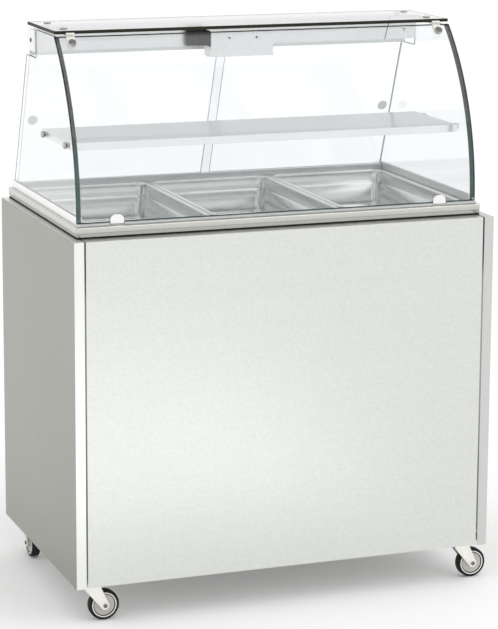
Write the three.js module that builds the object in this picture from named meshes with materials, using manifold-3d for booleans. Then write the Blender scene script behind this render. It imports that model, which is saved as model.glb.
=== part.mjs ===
// Heated serving counter on castors: a sheet steel cabinet, a three-pan steam well with its controls, and a
// curved glass display with a lamp beam, a shelf and sliding rear doors.
// Millimetres, +Z up, X along the width, the customer side faces -Y, the floor is at Z = 0.
import * as THREE from "three";
import { mergeVertices } from "three/addons/utils/BufferGeometryUtils.js";
import Module from "manifold-3d";

const wasm = await Module();
wasm.setup();

// ---------------------------------------------------------------- driving dimensions

const SHEET = 1.5; // folded steel sheet
const SEAT = 0.3; // gap between pieces that rest on or in each other
const FLUSH = 0.005; // faces nearer than this to one plane count as flat
const PAST = 1; // cutting tools run this far past what they cut

const CABINET = {
  height: 837,
  skirt: 5, // the panels hang this far below the base shelf
  flange: 25, // folded edge that faces the customer, the top and the back
  joint: 3.5, // open line between a flange and the front panel
  frontReturn: 18,
  topReturn: 60,
  frontLift: 2, // the front panel ends this far above the side panels
};

const CASTOR = {
  wheel: 75,
  headroom: 25, // from the wheel's top to the face that the castor is bolted to
  tyreDepth: 7.2,
  width: 23,
  trail: 30,
  clear: 1, // from the mounting plate to the front panel's fold
  sideClear: 20, // from the mounting plate to the cabinet's side
  plate: 60,
  plateThickness: 2.5,
  race: 22,
  raceDepth: 4,
  crown: 5,
  crownFront: 20,
  crownBack: 19,
  forkWall: 2.5,
  forkGap: 3, // between tyre and fork leg
  eye: 10.5,
  axle: 4,
  axleHead: 7,
  axleHeadDepth: 3.5,
  bore: 0.6, // wider than the axle
  hub: 10,
  web: 10,
  tread: 3,
  turn: -90, // of the rear castors about their swivel, degrees
};

const PEDAL = { back: 14, drop: 9, clear: 0.6, reach: 34, fall: 18, thickness: 6 };

const BASE = { lip: 20, frontGap: 1 };

const TOP = {
  inset: 17, // from the cabinet's sides
  setback: 39, // from the cabinet's front
  shadowGap: 3,
  fascia: 23,
  wall: 6,
  foot: 2,
  footInset: 4,
};

const PAN = {
  count: 3,
  width: 325,
  length: 530,
  depth: 100,
  gap: 3.7,
  rim: 10,
  rimDepth: 3.2,
  lip: 1.2, // the rim's turned-down edge
  rimWall: 1.8,
  neck: 2, // straight stretch under the rim
  wall: 1.2,
  corner: 22,
  draft: 8,
  bottomRound: 13,
  shoulder: 32, // depth of the stacking step
  shoulderRound: 3,
  step: 2.5,
  setback: 7.5, // rims from the inside of the curved glass
  clear: 0.5, // from the bowl to the edge of the well
  beside: 4.8, // from the row of pans to the channels of the side panes
};

const TANK = { depth: 190, flange: 12, clear: 2, drain: 11, drainX: 380, drainY: 190 };
const HEATER = { radius: 4.25, lift: 18, inset: 60, margin: 20, hairpins: 2, tail: 18, hole: 1, step: 30, sides: 8 };
const VALVE = {
  pipe: 9,
  bore: 6.5,
  collar: 16,
  collarDepth: 4,
  body: 17,
  drop: 30,
  length: 44,
  spout: 26,
  stem: 8,
  stemOut: 6,
  lever: 78,
  leverWidth: 14,
  leverHub: 5,
  leverWall: 3,
};

const CONTROL = {
  height: 155,
  recess: 20,
  sideGap: 2, // from the side panels' folds
  knobInset: 178, // centre of the knob from the panel's left end
  knob: 21,
  knobSkirt: 4,
  knobDepth: 15,
  knobGap: 1,
  shaft: 3,
  shaftLength: 18,
  pointer: 2,
  switchGap: 100, // from the knob to the first switch
  switchPitch: 50,
  rockerWidth: 17,
  rockerHeight: 25,
  rockerTilt: 9,
  rockerOut: 5.2,
  rockerDish: 2,
  rockerIn: 7,
  holeSide: 1.5, // room beside a rocker
  holeEnd: 2.5, // room above and below it
  glandInset: 78, // centre of the gland from the panel's right end
  gland: 11,
  glandDome: 9,
  glandThread: 8,
  glandBore: 4.5,
  glandNut: 7,
  glandOut: 16,
  glandIn: 12,
};

const GLASS = {
  thickness: 6,
  setback: 20, // curved glass from the front of the top frame
  radius: 580,
  straight: 12, // upright stretch above the deck before the curve starts
  height: 426,
  lift: 6,
  sideInset: 13,
  overhang: 6, // the curved glass runs past the side panes
  clearance: 1,
  topThickness: 8,
  topGap: 4,
  topInset: 1, // the top pane ends this far inside the curved glass, left and right
  topSetback: 174.7, // back edge of the top pane from the cabinet's back
  sideTopGap: 7,
  backFoot: 13, // back edge of the side panes from the cabinet's back
  backLift: 4,
  steps: 22, // facets along the curve
};

const CHANNEL = { height: 20, wall: 2.5, base: 3, slack: 0.5, front: 2, back: 4 };
const SEAL = { front: 7 };
const BEAM = { depth: 65, height: 52, topGap: 9, behind: 8, overhang: 3, boss: 8, bossInset: 38, bossBack: 33 };
const LAMP = { radius: 8, pin: 3, pinLength: 4, holder: 12, holderHalf: 12, holderDrop: 14, sideGap: 2, drop: 24 };
const BALLAST = { left: -72, right: 92, depth: 52.7, height: 64, below: 23, hole: 3, holeHigh: 46, holeInset: 48, holePitch: 72 };
const DOOR = { thickness: 5, offset: 5, pitch: 12, overlap: 28, slack: 0.5, sideGap: 1.5 };
const TRACK = { height: 16, wall: 3, base: 3, upper: 14, tall: 60, clear: 2.765 }; // clear of the pans
const SHELF = { height: 184, front: 81, depth: 254, edge: 18, sideGap: 3, studDrop: 8 };
const STUD = { shank: 4, head: 8, headDepth: 6, frontInset: 25, backInset: 39, slack: 0.5, inside: 5 };
const HINGE = {
  inset: 32,
  width: 20.6,
  leaf: 76,
  leafGap: 6, // from the front of the top pane
  plate: 3,
  lug: 6,
  barrel: 4,
  clear: 0.72, // between the barrel and the pane's edge
  tilt: 32, // the axis lies this far forward of straight up from the pane's edge, degrees
  pin: 1.7,
  play: 0.3,
  disc: 10,
  discOut: 7.5,
  discDrop: 25,
  tail: 30,
  tab: 3.4,
  pad: 0.6,
};
const GRIP = { inset: 98, width: 34, height: 22, corner: 13, plate: 4, inner: 2, inside: 9, drop: 3, room: 2 };

// ---------------------------------------------------------------- places worked out from them

const panPitch = PAN.width + PAN.gap;
const panRowHalf = (PAN.count * panPitch - PAN.gap) / 2;
const channelInner = panRowHalf + PAN.beside;
const channelHalf = (GLASS.thickness + 2 * CHANNEL.slack + 2 * CHANNEL.wall) / 2;
const sideMiddle = channelInner + channelHalf;
const sideOuter = sideMiddle + GLASS.thickness / 2;
const sideInner = sideOuter - GLASS.thickness;
const topHalf = sideOuter + GLASS.sideInset;
const halfWidth = topHalf + TOP.inset;

const lean = Math.atan2(GLASS.topSetback - GLASS.backFoot, GLASS.height + GLASS.topGap - GLASS.backLift);
const doorPlanes = [-DOOR.offset, -DOOR.offset - DOOR.pitch];
const trackReach = (DOOR.thickness + DOOR.slack - doorPlanes[1]) / Math.cos(lean) + TRACK.wall;
const trackRise = (SEAT + TRACK.height - GLASS.backLift) * Math.tan(lean);
const panInset = TOP.setback + GLASS.setback + GLASS.thickness + PAN.setback;
const depth = panInset + PAN.length + TRACK.clear + trackReach + trackRise + GLASS.backFoot;
const front = -depth / 2;
const back = depth / 2;
const castorHeight = CASTOR.wheel + CASTOR.headroom;
const baseFloor = castorHeight + SEAT;
const cabinetBottom = castorHeight - CABINET.skirt;
const cabinetTop = cabinetBottom + CABINET.height;
const frontHalf = halfWidth - CABINET.flange - CABINET.joint;

const topFront = front + TOP.setback;
const fasciaBottom = cabinetTop + TOP.shadowGap;
const deck = fasciaBottom + TOP.fascia;

const panFront = front + panInset;
const panBack = panFront + PAN.length;
const panRest = PAN.rim - PAN.clear;
const wellHalf = panRowHalf - panRest;
const wellFront = panFront + panRest;
const wellBack = panBack - panRest;
const tankFloor = deck - TANK.depth;
const heaterZ = tankFloor + SHEET + HEATER.lift;
const heaterHalf = wellHalf - HEATER.inset;

const controlHalf = halfWidth - CABINET.flange - CONTROL.sideGap;
const controlFace = back - CONTROL.recess;
const controlBottom = cabinetTop - CONTROL.height;
const controlZ = controlBottom + CONTROL.height / 2;
const knobX = CONTROL.knobInset - controlHalf;
const switchX = [knobX + CONTROL.switchGap, knobX + CONTROL.switchGap + CONTROL.switchPitch];
const glandX = controlHalf - CONTROL.glandInset;

const glassFront = topFront + GLASS.setback;
const arcY = glassFront + GLASS.radius;
const arcZ = deck + GLASS.straight;
const glassFoot = deck + GLASS.lift;
const glassTopZ = deck + GLASS.height;
const glassAngle = Math.asin((glassTopZ - arcZ) / GLASS.radius);
const glassTopY = arcY - GLASS.radius * Math.cos(glassAngle);
const frontGlassHalf = sideOuter + GLASS.overhang;
const gripX = frontGlassHalf - GRIP.inset;

const hingeTilt = THREE.MathUtils.degToRad(HINGE.tilt);
const hingeReach = HINGE.barrel + HINGE.clear;
const hingeY = glassTopY - hingeReach * Math.sin(hingeTilt);
const hingeZ = glassTopZ + hingeReach * Math.cos(hingeTilt);
const hingeX = sideOuter - HINGE.inset;

const topGlassBottom = glassTopZ + GLASS.topGap;
const topGlassTop = topGlassBottom + GLASS.topThickness;
const topGlassFront = hingeY + HINGE.barrel + GLASS.clearance;
const topGlassBack = back - GLASS.topSetback;
const sideTop = topGlassBottom - GLASS.sideTopGap;

const footY = back - GLASS.backFoot;
const footZ = deck + GLASS.backLift;

const beamBack = topGlassBack + BEAM.behind;
const beamFront = beamBack - BEAM.depth;
const beamTop = topGlassBottom - BEAM.topGap;
const beamBottom = beamTop - BEAM.height;
const beamHalf = sideOuter + BEAM.overhang;
const lampY = (beamFront + beamBack) / 2;
const lampZ = beamTop - LAMP.drop;
const lampReach = sideInner - LAMP.sideGap;

const shelfTop = deck + SHELF.height;
const shelfFront = glassFront + SHELF.front;
const shelfBack = shelfFront + SHELF.depth;
const studY = [shelfFront + STUD.frontInset, shelfBack - STUD.backInset];
const studZ = shelfTop - SHELF.studDrop;

// ---------------------------------------------------------------- finishes

const FINISH = {
  brushed: { color: 0xc4c6bf, roughness: 0.34, metalness: 1 },
  polished: { color: 0xd2d4d0, roughness: 0.18, metalness: 1 },
  satin: { color: 0xe6e8e8, roughness: 0.4, metalness: 0.8 },
  zinc: { color: 0xe2e4e4, roughness: 0.3, metalness: 0.9 },
  glass: { color: 0xdfe9ea, roughness: 0.02, metalness: 0 },
  lamp: { color: 0xf4f4ee, roughness: 0.3, metalness: 0 },
  silicone: { color: 0xd6d9d6, roughness: 0.45, metalness: 0 },
  rubber: { color: 0x17181a, roughness: 0.75, metalness: 0 },
  hub: { color: 0xb4b6ae, roughness: 0.5, metalness: 0 },
  black: { color: 0x1c1d1f, roughness: 0.5, metalness: 0 },
  red: { color: 0xb4231c, roughness: 0.4, metalness: 0 },
  brass: { color: 0xb99a5b, roughness: 0.35, metalness: 1 },
};

// ---------------------------------------------------------------- shape tools

function solidOf(geometry) {
  const bare = geometry.clone();
  bare.deleteAttribute("normal");
  bare.deleteAttribute("uv");
  const merged = mergeVertices(bare);
  const made = new wasm.Mesh({
    numProp: 3,
    vertProperties: merged.getAttribute("position").array,
    triVerts: new Uint32Array(merged.index.array),
  });
  return new wasm.Manifold(made);
}

// Flush faces that are joined leave slivers, so they are merged back into flat faces here.
function geometryOf(solid) {
  const mesh = solid.asOriginal().simplify(FLUSH).getMesh();
  const geometry = new THREE.BufferGeometry();
  geometry.setAttribute("position", new THREE.BufferAttribute(mesh.vertProperties, 3));
  geometry.setIndex(new THREE.BufferAttribute(mesh.triVerts, 1));
  return geometry;
}

const join = (...solids) => solids.reduce((whole, next) => whole.add(next));
const cut = (whole, ...tools) => tools.reduce((rest, tool) => rest.subtract(tool), whole);

function box(x0, x1, y0, y1, z0, z1) {
  const geometry = new THREE.BoxGeometry(x1 - x0, y1 - y0, z1 - z0);
  return solidOf(geometry.translate((x0 + x1) / 2, (y0 + y1) / 2, (z0 + z1) / 2));
}

// A box that is the same left and right of X = 0.
const wide = (half, y0, y1, z0, z1) => box(-half, half, y0, y1, z0, z1);

// A round bar along one axis, from one end to the other; a and b are its two other coordinates in X, Y, Z order.
function bar(axis, radius, from, to, a, b, sides = 24) {
  const geometry = new THREE.CylinderGeometry(radius, radius, to - from, sides);
  const middle = (from + to) / 2;
  if (axis === "x") geometry.rotateZ(-Math.PI / 2).translate(middle, a, b);
  if (axis === "y") geometry.translate(a, middle, b);
  if (axis === "z") geometry.rotateX(Math.PI / 2).translate(a, b, middle);
  return solidOf(geometry);
}

// An outline of [y, z] points drawn out along X.
function prismX(points, x0, x1) {
  const shape = new THREE.Shape(points.map(([y, z]) => new THREE.Vector2(y, z)));
  const geometry = new THREE.ExtrudeGeometry(shape, { depth: x1 - x0, bevelEnabled: false });
  const turn = new THREE.Matrix4().makeBasis(
    new THREE.Vector3(0, 1, 0),
    new THREE.Vector3(0, 0, 1),
    new THREE.Vector3(1, 0, 0),
  );
  return solidOf(geometry.applyMatrix4(turn).translate(x0, 0, 0));
}

// A shape in X and Z drawn out along Y.
function prismY(shape, y0, y1, curveSegments = 8) {
  const geometry = new THREE.ExtrudeGeometry(shape, { depth: y1 - y0, bevelEnabled: false, curveSegments });
  const turn = new THREE.Matrix4().makeBasis(
    new THREE.Vector3(1, 0, 0),
    new THREE.Vector3(0, 0, 1),
    new THREE.Vector3(0, -1, 0),
  );
  return solidOf(geometry.applyMatrix4(turn).translate(0, y1, 0));
}

// A ring or disc about the Y axis, from [radius, y] points that run round its section.
function turned(points, sides = 24) {
  const profile = [...points, points[0]].map(([r, y]) => new THREE.Vector2(r, y));
  return solidOf(new THREE.LatheGeometry(profile, sides));
}

// The points of a rectangle with round corners, centred on the Z axis.
function roundedRing(width, length, corner, z, steps = 3) {
  const points = [];
  for (let quarter = 0; quarter < 4; quarter++) {
    const sx = quarter === 0 || quarter === 3 ? 1 : -1;
    const sy = quarter < 2 ? 1 : -1;
    for (let i = 0; i <= steps; i++) {
      const angle = ((quarter + i / steps) * Math.PI) / 2;
      const x = sx * (width / 2 - corner) + corner * Math.cos(angle);
      const y = sy * (length / 2 - corner) + corner * Math.sin(angle);
      points.push([x, y, z]);
    }
  }
  return points;
}

// A closed skin over a run of rings of equal count; the first and last are filled.
function skin(rings) {
  const count = rings[0].length;
  const position = rings.flat(2);
  const index = [];
  for (let r = 0; r + 1 < rings.length; r++) {
    for (let i = 0; i < count; i++) {
      const a = r * count + i;
      const b = r * count + ((i + 1) % count);
      index.push(a, b, b + count, a, b + count, a + count);
    }
  }
  for (const [ring, flip] of [[0, true], [rings.length - 1, false]]) {
    const middle = position.length / 3;
    position.push(0, 0, rings[ring][0][2]);
    for (let i = 0; i < count; i++) {
      const a = ring * count + i;
      const b = ring * count + ((i + 1) % count);
      index.push(middle, ...(flip ? [b, a] : [a, b]));
    }
  }
  const geometry = new THREE.BufferGeometry();
  geometry.setAttribute("position", new THREE.Float32BufferAttribute(position, 3));
  geometry.setIndex(index);
  return solidOf(geometry);
}

const unit = new THREE.Group();

function add(name, solid, finish, parent = unit) {
  const mesh = new THREE.Mesh(geometryOf(solid), new THREE.MeshStandardMaterial(FINISH[finish]));
  mesh.name = name;
  parent.add(mesh);
  return mesh;
}

function group(parent = unit) {
  const made = new THREE.Group();
  parent.add(made);
  return made;
}

const SIDES = [
  ["left", -1],
  ["right", 1],
];
const mirrored = (solid, side) => (side < 0 ? solid.mirror([1, 0, 0]) : solid);

// ---------------------------------------------------------------- cabinet

function sidePanel() {
  const inner = halfWidth - SHEET;
  const edge = halfWidth - CABINET.flange;
  const low = cabinetBottom;
  return join(
    box(inner, halfWidth, front, back, low, cabinetTop),
    box(edge, halfWidth, front, front + SHEET, low, cabinetTop),
    box(edge, halfWidth, back - SHEET, back, low, cabinetTop),
    box(edge, halfWidth, front, back, cabinetTop - SHEET, cabinetTop),
  );
}

function frontPanel() {
  const low = cabinetBottom + CABINET.frontLift;
  const deep = front + CABINET.frontReturn;
  return join(
    wide(frontHalf, front, front + SHEET, low, cabinetTop),
    wide(frontHalf, front, deep, low, low + SHEET),
    wide(frontHalf, front, front + CABINET.topReturn, cabinetTop - SHEET, cabinetTop),
    box(-frontHalf, -frontHalf + SHEET, front, deep, low, cabinetTop),
    box(frontHalf - SHEET, frontHalf, front, deep, low, cabinetTop),
  );
}

function baseShelf() {
  const half = halfWidth - SHEET - SEAT;
  const y0 = front + CABINET.frontReturn + BASE.frontGap;
  const y1 = back - SHEET - SEAT;
  const high = baseFloor + BASE.lip;
  const tray = wide(half, y0, y1, baseFloor, high);
  return cut(tray, wide(half - SHEET, y0 + SHEET, y1 - SHEET, baseFloor + SHEET, high + PAST));
}

function controlPanel() {
  const tab = back - SHEET - SEAT;
  const outer = halfWidth - SHEET - SEAT;
  const top = cabinetTop - SEAT;
  const tabTop = cabinetTop - 2 * SHEET - SEAT;
  const inside = controlFace - SHEET;
  const parts = [
    wide(controlHalf, inside, controlFace, controlBottom, top),
    wide(controlHalf, inside, tab, controlBottom, controlBottom + SHEET),
    wide(controlHalf, inside, tab, top - SHEET, top),
  ];
  for (const [, side] of SIDES) {
    const wing = join(
      box(controlHalf - SHEET, controlHalf, inside, tab, controlBottom, top),
      box(controlHalf - SHEET, outer, tab - SHEET, tab, controlBottom, tabTop),
    );
    parts.push(mirrored(wing, side));
  }
  const reach = [inside - PAST, controlFace + PAST];
  const holeHalf = CONTROL.rockerWidth / 2 + CONTROL.holeSide;
  const holeHigh = CONTROL.rockerHeight / 2 + CONTROL.holeEnd;
  const holes = switchX.map((x) =>
    box(x - holeHalf, x + holeHalf, ...reach, controlZ - holeHigh, controlZ + holeHigh),
  );
  holes.push(bar("y", CONTROL.shaft + CONTROL.knobGap, ...reach, knobX, controlZ));
  holes.push(bar("y", CONTROL.glandThread + SEAT, ...reach, glandX, controlZ));
  return cut(join(...parts), ...holes);
}

function knob() {
  const y0 = controlFace + CONTROL.knobGap;
  const y1 = y0 + CONTROL.knobDepth;
  const gripRadius = CONTROL.knob - CONTROL.knobSkirt;
  const half = CONTROL.pointer;
  const skirt = bar("y", CONTROL.knob, y0, y0 + CONTROL.knobSkirt, 0, 0);
  const grip = bar("y", gripRadius, y0, y1, 0, 0);
  const pointer = box(-half, half, y1 - half, y1 + half / 2, 0, gripRadius);
  const shaft = bar("y", CONTROL.shaft, controlFace - CONTROL.shaftLength, y0 + PAST, 0, 0, 16);
  return join(skirt, grip, pointer, shaft);
}

// A rocker seen along X: two shallow faces that meet over the pivot.
function rocker() {
  const half = CONTROL.rockerHeight / 2;
  const outline = [
    [-CONTROL.rockerIn, -half],
    [CONTROL.rockerOut, -half],
    [CONTROL.rockerOut - CONTROL.rockerDish, 0],
    [CONTROL.rockerOut, half],
    [-CONTROL.rockerIn, half],
  ];
  return prismX(outline, -CONTROL.rockerWidth / 2, CONTROL.rockerWidth / 2);
}

function cableGland() {
  const nutEnd = controlFace + CONTROL.glandNut;
  const domeEnd = controlFace + CONTROL.glandOut;
  const threadEnd = controlFace - CONTROL.glandIn;
  const nut = bar("y", CONTROL.gland, controlFace + SEAT, nutEnd, glandX, controlZ, 6);
  const dome = bar("y", CONTROL.glandDome, nutEnd - PAST, domeEnd, glandX, controlZ);
  const thread = bar("y", CONTROL.glandThread, threadEnd, controlFace + PAST, glandX, controlZ);
  const bore = bar("y", CONTROL.glandBore, threadEnd - PAST, domeEnd + PAST, glandX, controlZ, 16);
  return cut(join(nut, dome, thread), bore);
}

// ---------------------------------------------------------------- steam well

function topFrame() {
  const foot = TOP.footInset;
  const ring = foot + TOP.foot;
  const wall = TOP.wall;
  const low = cabinetTop + SEAT;
  const shell = wide(topHalf, topFront, back, fasciaBottom, deck);
  const hollow = wide(topHalf - wall, topFront + wall, back - wall, fasciaBottom - PAST, deck - SHEET);
  const feet = cut(
    wide(topHalf - foot, topFront + foot, back - foot, low, fasciaBottom + PAST),
    wide(topHalf - ring, topFront + ring, back - ring, low - PAST, fasciaBottom + 2 * PAST),
  );
  const well = wide(wellHalf, wellFront, wellBack, deck - SHEET - PAST, deck + PAST);
  return cut(join(cut(shell, hollow), feet), well);
}

// Centre line of the heating tube: in from the back, hairpin bends under the pans, and out again.
function heaterRoute() {
  const z = heaterZ;
  const half = heaterHalf;
  const pitch = (2 * half) / (2 * HEATER.hairpins - 1);
  const near = wellFront + HEATER.margin + pitch / 2;
  const far = wellBack - HEATER.margin - pitch / 2;
  const out = wellBack + TANK.clear + SHEET + HEATER.tail;
  const route = new THREE.CurvePath();
  let last = new THREE.Vector3(-half, out, z);
  const lineTo = (x, y) => {
    const next = new THREE.Vector3(x, y, z);
    route.add(new THREE.LineCurve3(last, next));
    last = next;
  };
  const turnTo = (x, side) => {
    const next = new THREE.Vector3(x, last.y, z);
    const pull = new THREE.Vector3(0, (side * pitch * 2) / 3, 0);
    route.add(new THREE.CubicBezierCurve3(last, last.clone().add(pull), next.clone().add(pull), next));
    last = next;
  };
  for (let i = 0; i < HEATER.hairpins; i++) {
    const x = -half + 2 * i * pitch;
    const isLast = i === HEATER.hairpins - 1;
    lineTo(x, near);
    turnTo(x + pitch, -1);
    lineTo(x + pitch, isLast ? out : far);
    if (!isLast) turnTo(x + 2 * pitch, 1);
  }
  return route;
}

function heaterTube() {
  const route = heaterRoute();
  const section = new THREE.Shape();
  section.absarc(0, 0, HEATER.radius, 0, 2 * Math.PI, false);
  const geometry = new THREE.ExtrudeGeometry(section, {
    steps: Math.round(route.getLength() / HEATER.step),
    curveSegments: HEATER.sides / 2,
    bevelEnabled: false,
    extrudePath: route,
  });
  return solidOf(geometry);
}

function wellTank() {
  const half = wellHalf + TANK.clear;
  const y0 = wellFront - TANK.clear;
  const y1 = wellBack + TANK.clear;
  const top = deck - SHEET - SEAT;
  const floor = tankFloor + SHEET;
  const parts = join(
    wide(half + SHEET, y0 - SHEET, y1 + SHEET, tankFloor, top),
    wide(half + TANK.flange, y0 - TANK.flange, y1 + TANK.flange, top - SHEET, top),
  );
  const inside = wide(half, y0, y1, floor, deck);
  const drain = bar("z", TANK.drain, tankFloor - PAST, floor + PAST, TANK.drainX, TANK.drainY);
  const ports = SIDES.map(([, side]) =>
    bar("y", HEATER.radius + HEATER.hole, y1 - PAST, y1 + SHEET + PAST, side * heaterHalf, heaterZ, 16),
  );
  return cut(parts, inside, drain, ...ports);
}

const valveTop = tankFloor - SEAT;
const valveBodyTop = valveTop - VALVE.drop;
const valveBodyLow = valveBodyTop - VALVE.length;
const valveMiddle = (valveBodyTop + valveBodyLow) / 2;

// Outlet pipe, ball valve body and spout in one casting, bored through.
function drainValve() {
  const x = TANK.drainX;
  const y = TANK.drainY;
  const low = valveBodyLow - VALVE.spout;
  const parts = join(
    bar("z", VALVE.collar, valveTop - VALVE.collarDepth, valveTop, x, y),
    bar("z", VALVE.pipe, low, valveTop, x, y),
    bar("z", VALVE.body, valveBodyLow, valveBodyTop, x, y, 8),
    bar("y", VALVE.stem, y, y + VALVE.body + VALVE.stemOut, x, valveMiddle, 16),
  );
  return cut(parts, bar("z", VALVE.bore, low - PAST, valveTop + PAST, x, y, 16));
}

const leverPivot = new THREE.Vector3(
  TANK.drainX,
  TANK.drainY + VALVE.body + VALVE.stemOut + SEAT,
  valveMiddle,
);

function drainLever() {
  const half = VALVE.leverWidth / 2;
  const hub = bar("y", half + 1, 0, VALVE.leverHub, 0, 0);
  const arm = box(-VALVE.lever, 0, 1, 1 + VALVE.leverWall, -half + 1, half - 1);
  const end = bar("y", half, 0.5, VALVE.leverHub + 1, -VALVE.lever, 0);
  return join(hub, arm, end);
}

// A pan as a thin pressed shell: outside from the bottom up, over the rim, and down the inside.
function foodPan() {
  const { rim, rimDepth, wall, corner, draft, depth: deep, shoulder, step, bottomRound } = PAN;
  const width = PAN.width - 2 * rim;
  const length = PAN.length - 2 * rim;
  const ring = (shrink, z) => roundedRing(width - 2 * shrink, length - 2 * shrink, corner - shrink / 3, z);
  const bowl = (inset, lift) => [
    [draft + bottomRound + 1 + inset, -deep + lift],
    [draft + bottomRound / 3 + inset, -deep + bottomRound / 4 + lift],
    [draft + inset, -deep + bottomRound],
    [step + 1 + inset, -shoulder - PAN.shoulderRound],
    [1 + inset, -shoulder],
    [inset, -rimDepth - PAN.neck],
  ];
  const outside = bowl(0, 0).map(([shrink, z]) => ring(shrink, z));
  const inside = bowl(wall, wall).map(([shrink, z]) => ring(shrink, z)).reverse();
  const lip = (grow, z) => roundedRing(width + 2 * grow, length + 2 * grow, corner + grow, z);
  return skin([
    ...outside,
    lip(0, -PAN.rimWall),
    lip(rim - PAN.lip, -PAN.rimWall),
    lip(rim - PAN.lip, -rimDepth),
    lip(rim, -rimDepth),
    lip(rim, 0),
    lip(0, 0),
    ...inside.slice(1),
  ]);
}

// ---------------------------------------------------------------- glass display

function arcPoints(radius, from, to, steps) {
  const points = [];
  for (let i = 0; i <= steps; i++) {
    const angle = from + ((to - from) * i) / steps;
    points.push([arcY - radius * Math.cos(angle), arcZ + radius * Math.sin(angle)]);
  }
  return points;
}

function frontGlass() {
  const inner = GLASS.radius - GLASS.thickness;
  const outline = [
    [glassFront + GLASS.thickness, glassFoot],
    [glassFront, glassFoot],
    ...arcPoints(GLASS.radius, 0, glassAngle, GLASS.steps),
    ...arcPoints(inner, 0, glassAngle, GLASS.steps).reverse(),
  ];
  return prismX(outline.reverse(), -frontGlassHalf, frontGlassHalf);
}

function topGlass() {
  return wide(frontGlassHalf - GLASS.topInset, topGlassFront, topGlassBack, topGlassBottom, topGlassTop);
}

// World Y of the back edge's plane, moved by an offset square to it, at a height.
const leanY = (z, offset = 0) => footY + offset / Math.cos(lean) - (z - footZ) * Math.tan(lean);

// Follows the curved glass in front and leans at the back, with a notch round the lamp beam and the door track.
function sideGlass() {
  const radius = GLASS.radius - GLASS.thickness - GLASS.clearance;
  const topAngle = Math.asin((sideTop - arcZ) / radius);
  const low = deck + SEAT + CHANNEL.base + SEAT;
  const notchFront = beamFront - GLASS.clearance / 2;
  const notchBottom = beamBottom - TRACK.upper - 2 * SEAT - GLASS.clearance / 2;
  const outline = [
    [arcY - radius, low],
    [leanY(low), low],
    [leanY(notchBottom), notchBottom],
    [notchFront, notchBottom],
    [notchFront, sideTop],
    ...arcPoints(radius, 0, topAngle, GLASS.steps).reverse(),
  ];
  const pane = prismX(outline, sideInner, sideOuter);
  const holes = studY.map((y) =>
    bar("x", STUD.shank + STUD.slack, sideInner - PAST, sideOuter + PAST, y, studZ, 16),
  );
  return cut(pane, ...holes);
}

function sideChannel() {
  const low = deck + SEAT;
  const high = low + CHANNEL.height;
  const y0 = glassFront + GLASS.thickness + CHANNEL.front;
  const y1 = back - CHANNEL.back;
  const whole = box(channelInner, channelInner + 2 * channelHalf, y0, y1, low, high);
  const x0 = sideInner - CHANNEL.slack;
  const x1 = sideOuter + CHANNEL.slack;
  return cut(whole, box(x0, x1, y0 - PAST, y1 + PAST, low + CHANNEL.base, high + PAST));
}

function frontSeal() {
  const y0 = glassFront - SEAL.front;
  const y1 = glassFront + GLASS.thickness + GLASS.clearance - SEAT;
  const strip = wide(frontGlassHalf, y0, y1, deck + SEAT, glassFoot - SEAT);
  const half = GRIP.width / 2 + GRIP.room;
  const low = glassFoot - GRIP.drop - PAST;
  const notches = SIDES.map(([, side]) => {
    const x = side * gripX;
    return box(x - half, x + half, y0 - PAST, y1 + PAST, low, glassFoot + PAST);
  });
  return cut(strip, ...notches);
}

// A rounded plate outside, a short one inside, and a web under the pane's foot.
function glassGrip(x) {
  const half = GRIP.width / 2;
  const corner = GRIP.corner;
  const low = glassFoot - GRIP.drop;
  const high = low + GRIP.height;
  const face = new THREE.Shape();
  face.moveTo(-half, low);
  face.lineTo(half, low);
  face.lineTo(half, high - corner);
  face.absarc(half - corner, high - corner, corner, 0, Math.PI / 2, false);
  face.lineTo(-half + corner, high);
  face.absarc(-half + corner, high - corner, corner, Math.PI / 2, Math.PI, false);
  face.closePath();
  const outerFace = glassFront - SEAT;
  const innerFace = glassFront + GLASS.thickness + SEAT;
  const outside = prismY(face, outerFace - GRIP.plate, outerFace, 6);
  const web = wide(half, outerFace - GRIP.plate / 2, innerFace + GRIP.inner, low, glassFoot - SEAT);
  const inside = wide(half, innerFace, innerFace + GRIP.inner, low, low + GRIP.inside);
  return join(outside, web, inside).translate([x, 0, 0]);
}

function lampBeam() {
  const whole = wide(beamHalf, beamFront, beamBack, beamBottom, beamTop);
  const hollow = wide(
    beamHalf - SHEET,
    beamFront + SHEET,
    beamBack - SHEET,
    beamBottom - PAST,
    beamTop - SHEET,
  );
  const parts = [cut(whole, hollow)];
  const half = LAMP.holderHalf;
  const bossX = sideOuter - BEAM.bossInset;
  const bossY = beamBack - BEAM.bossBack;
  const inTop = beamTop - SHEET / 2;
  for (const [, side] of SIDES) {
    const holder = box(
      lampReach - LAMP.holder,
      lampReach,
      lampY - half,
      lampY + half,
      lampZ - LAMP.holderDrop,
      inTop,
    );
    const boss = bar("z", BEAM.boss, inTop, topGlassBottom - SEAT, bossX, bossY);
    parts.push(mirrored(join(holder, boss), side));
  }
  return join(...parts);
}

function lampTube() {
  const reach = lampReach - LAMP.holder - SEAT;
  const pins = bar("x", LAMP.pin, -reach, reach, lampY, lampZ, 12);
  return join(bar("x", LAMP.radius, -reach + LAMP.pinLength, reach - LAMP.pinLength, lampY, lampZ), pins);
}

function ballastBox() {
  const { left, right, holeInset, holePitch } = BALLAST;
  const y1 = beamFront - SEAT;
  const y0 = y1 - BALLAST.depth;
  const low = beamBottom - BALLAST.below;
  const high = low + BALLAST.height;
  const shell = cut(
    box(left, right, y0, y1, low, high),
    box(left + SHEET, right - SHEET, y0 + SHEET, y1 + PAST, low + SHEET, high - SHEET),
  );
  const z = low + BALLAST.holeHigh;
  const holes = [left + holeInset, left + holeInset + holePitch].map((x) =>
    bar("y", BALLAST.hole, y0 - PAST, y0 + SHEET + PAST, x, z, 12),
  );
  return cut(shell, ...holes);
}

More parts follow.
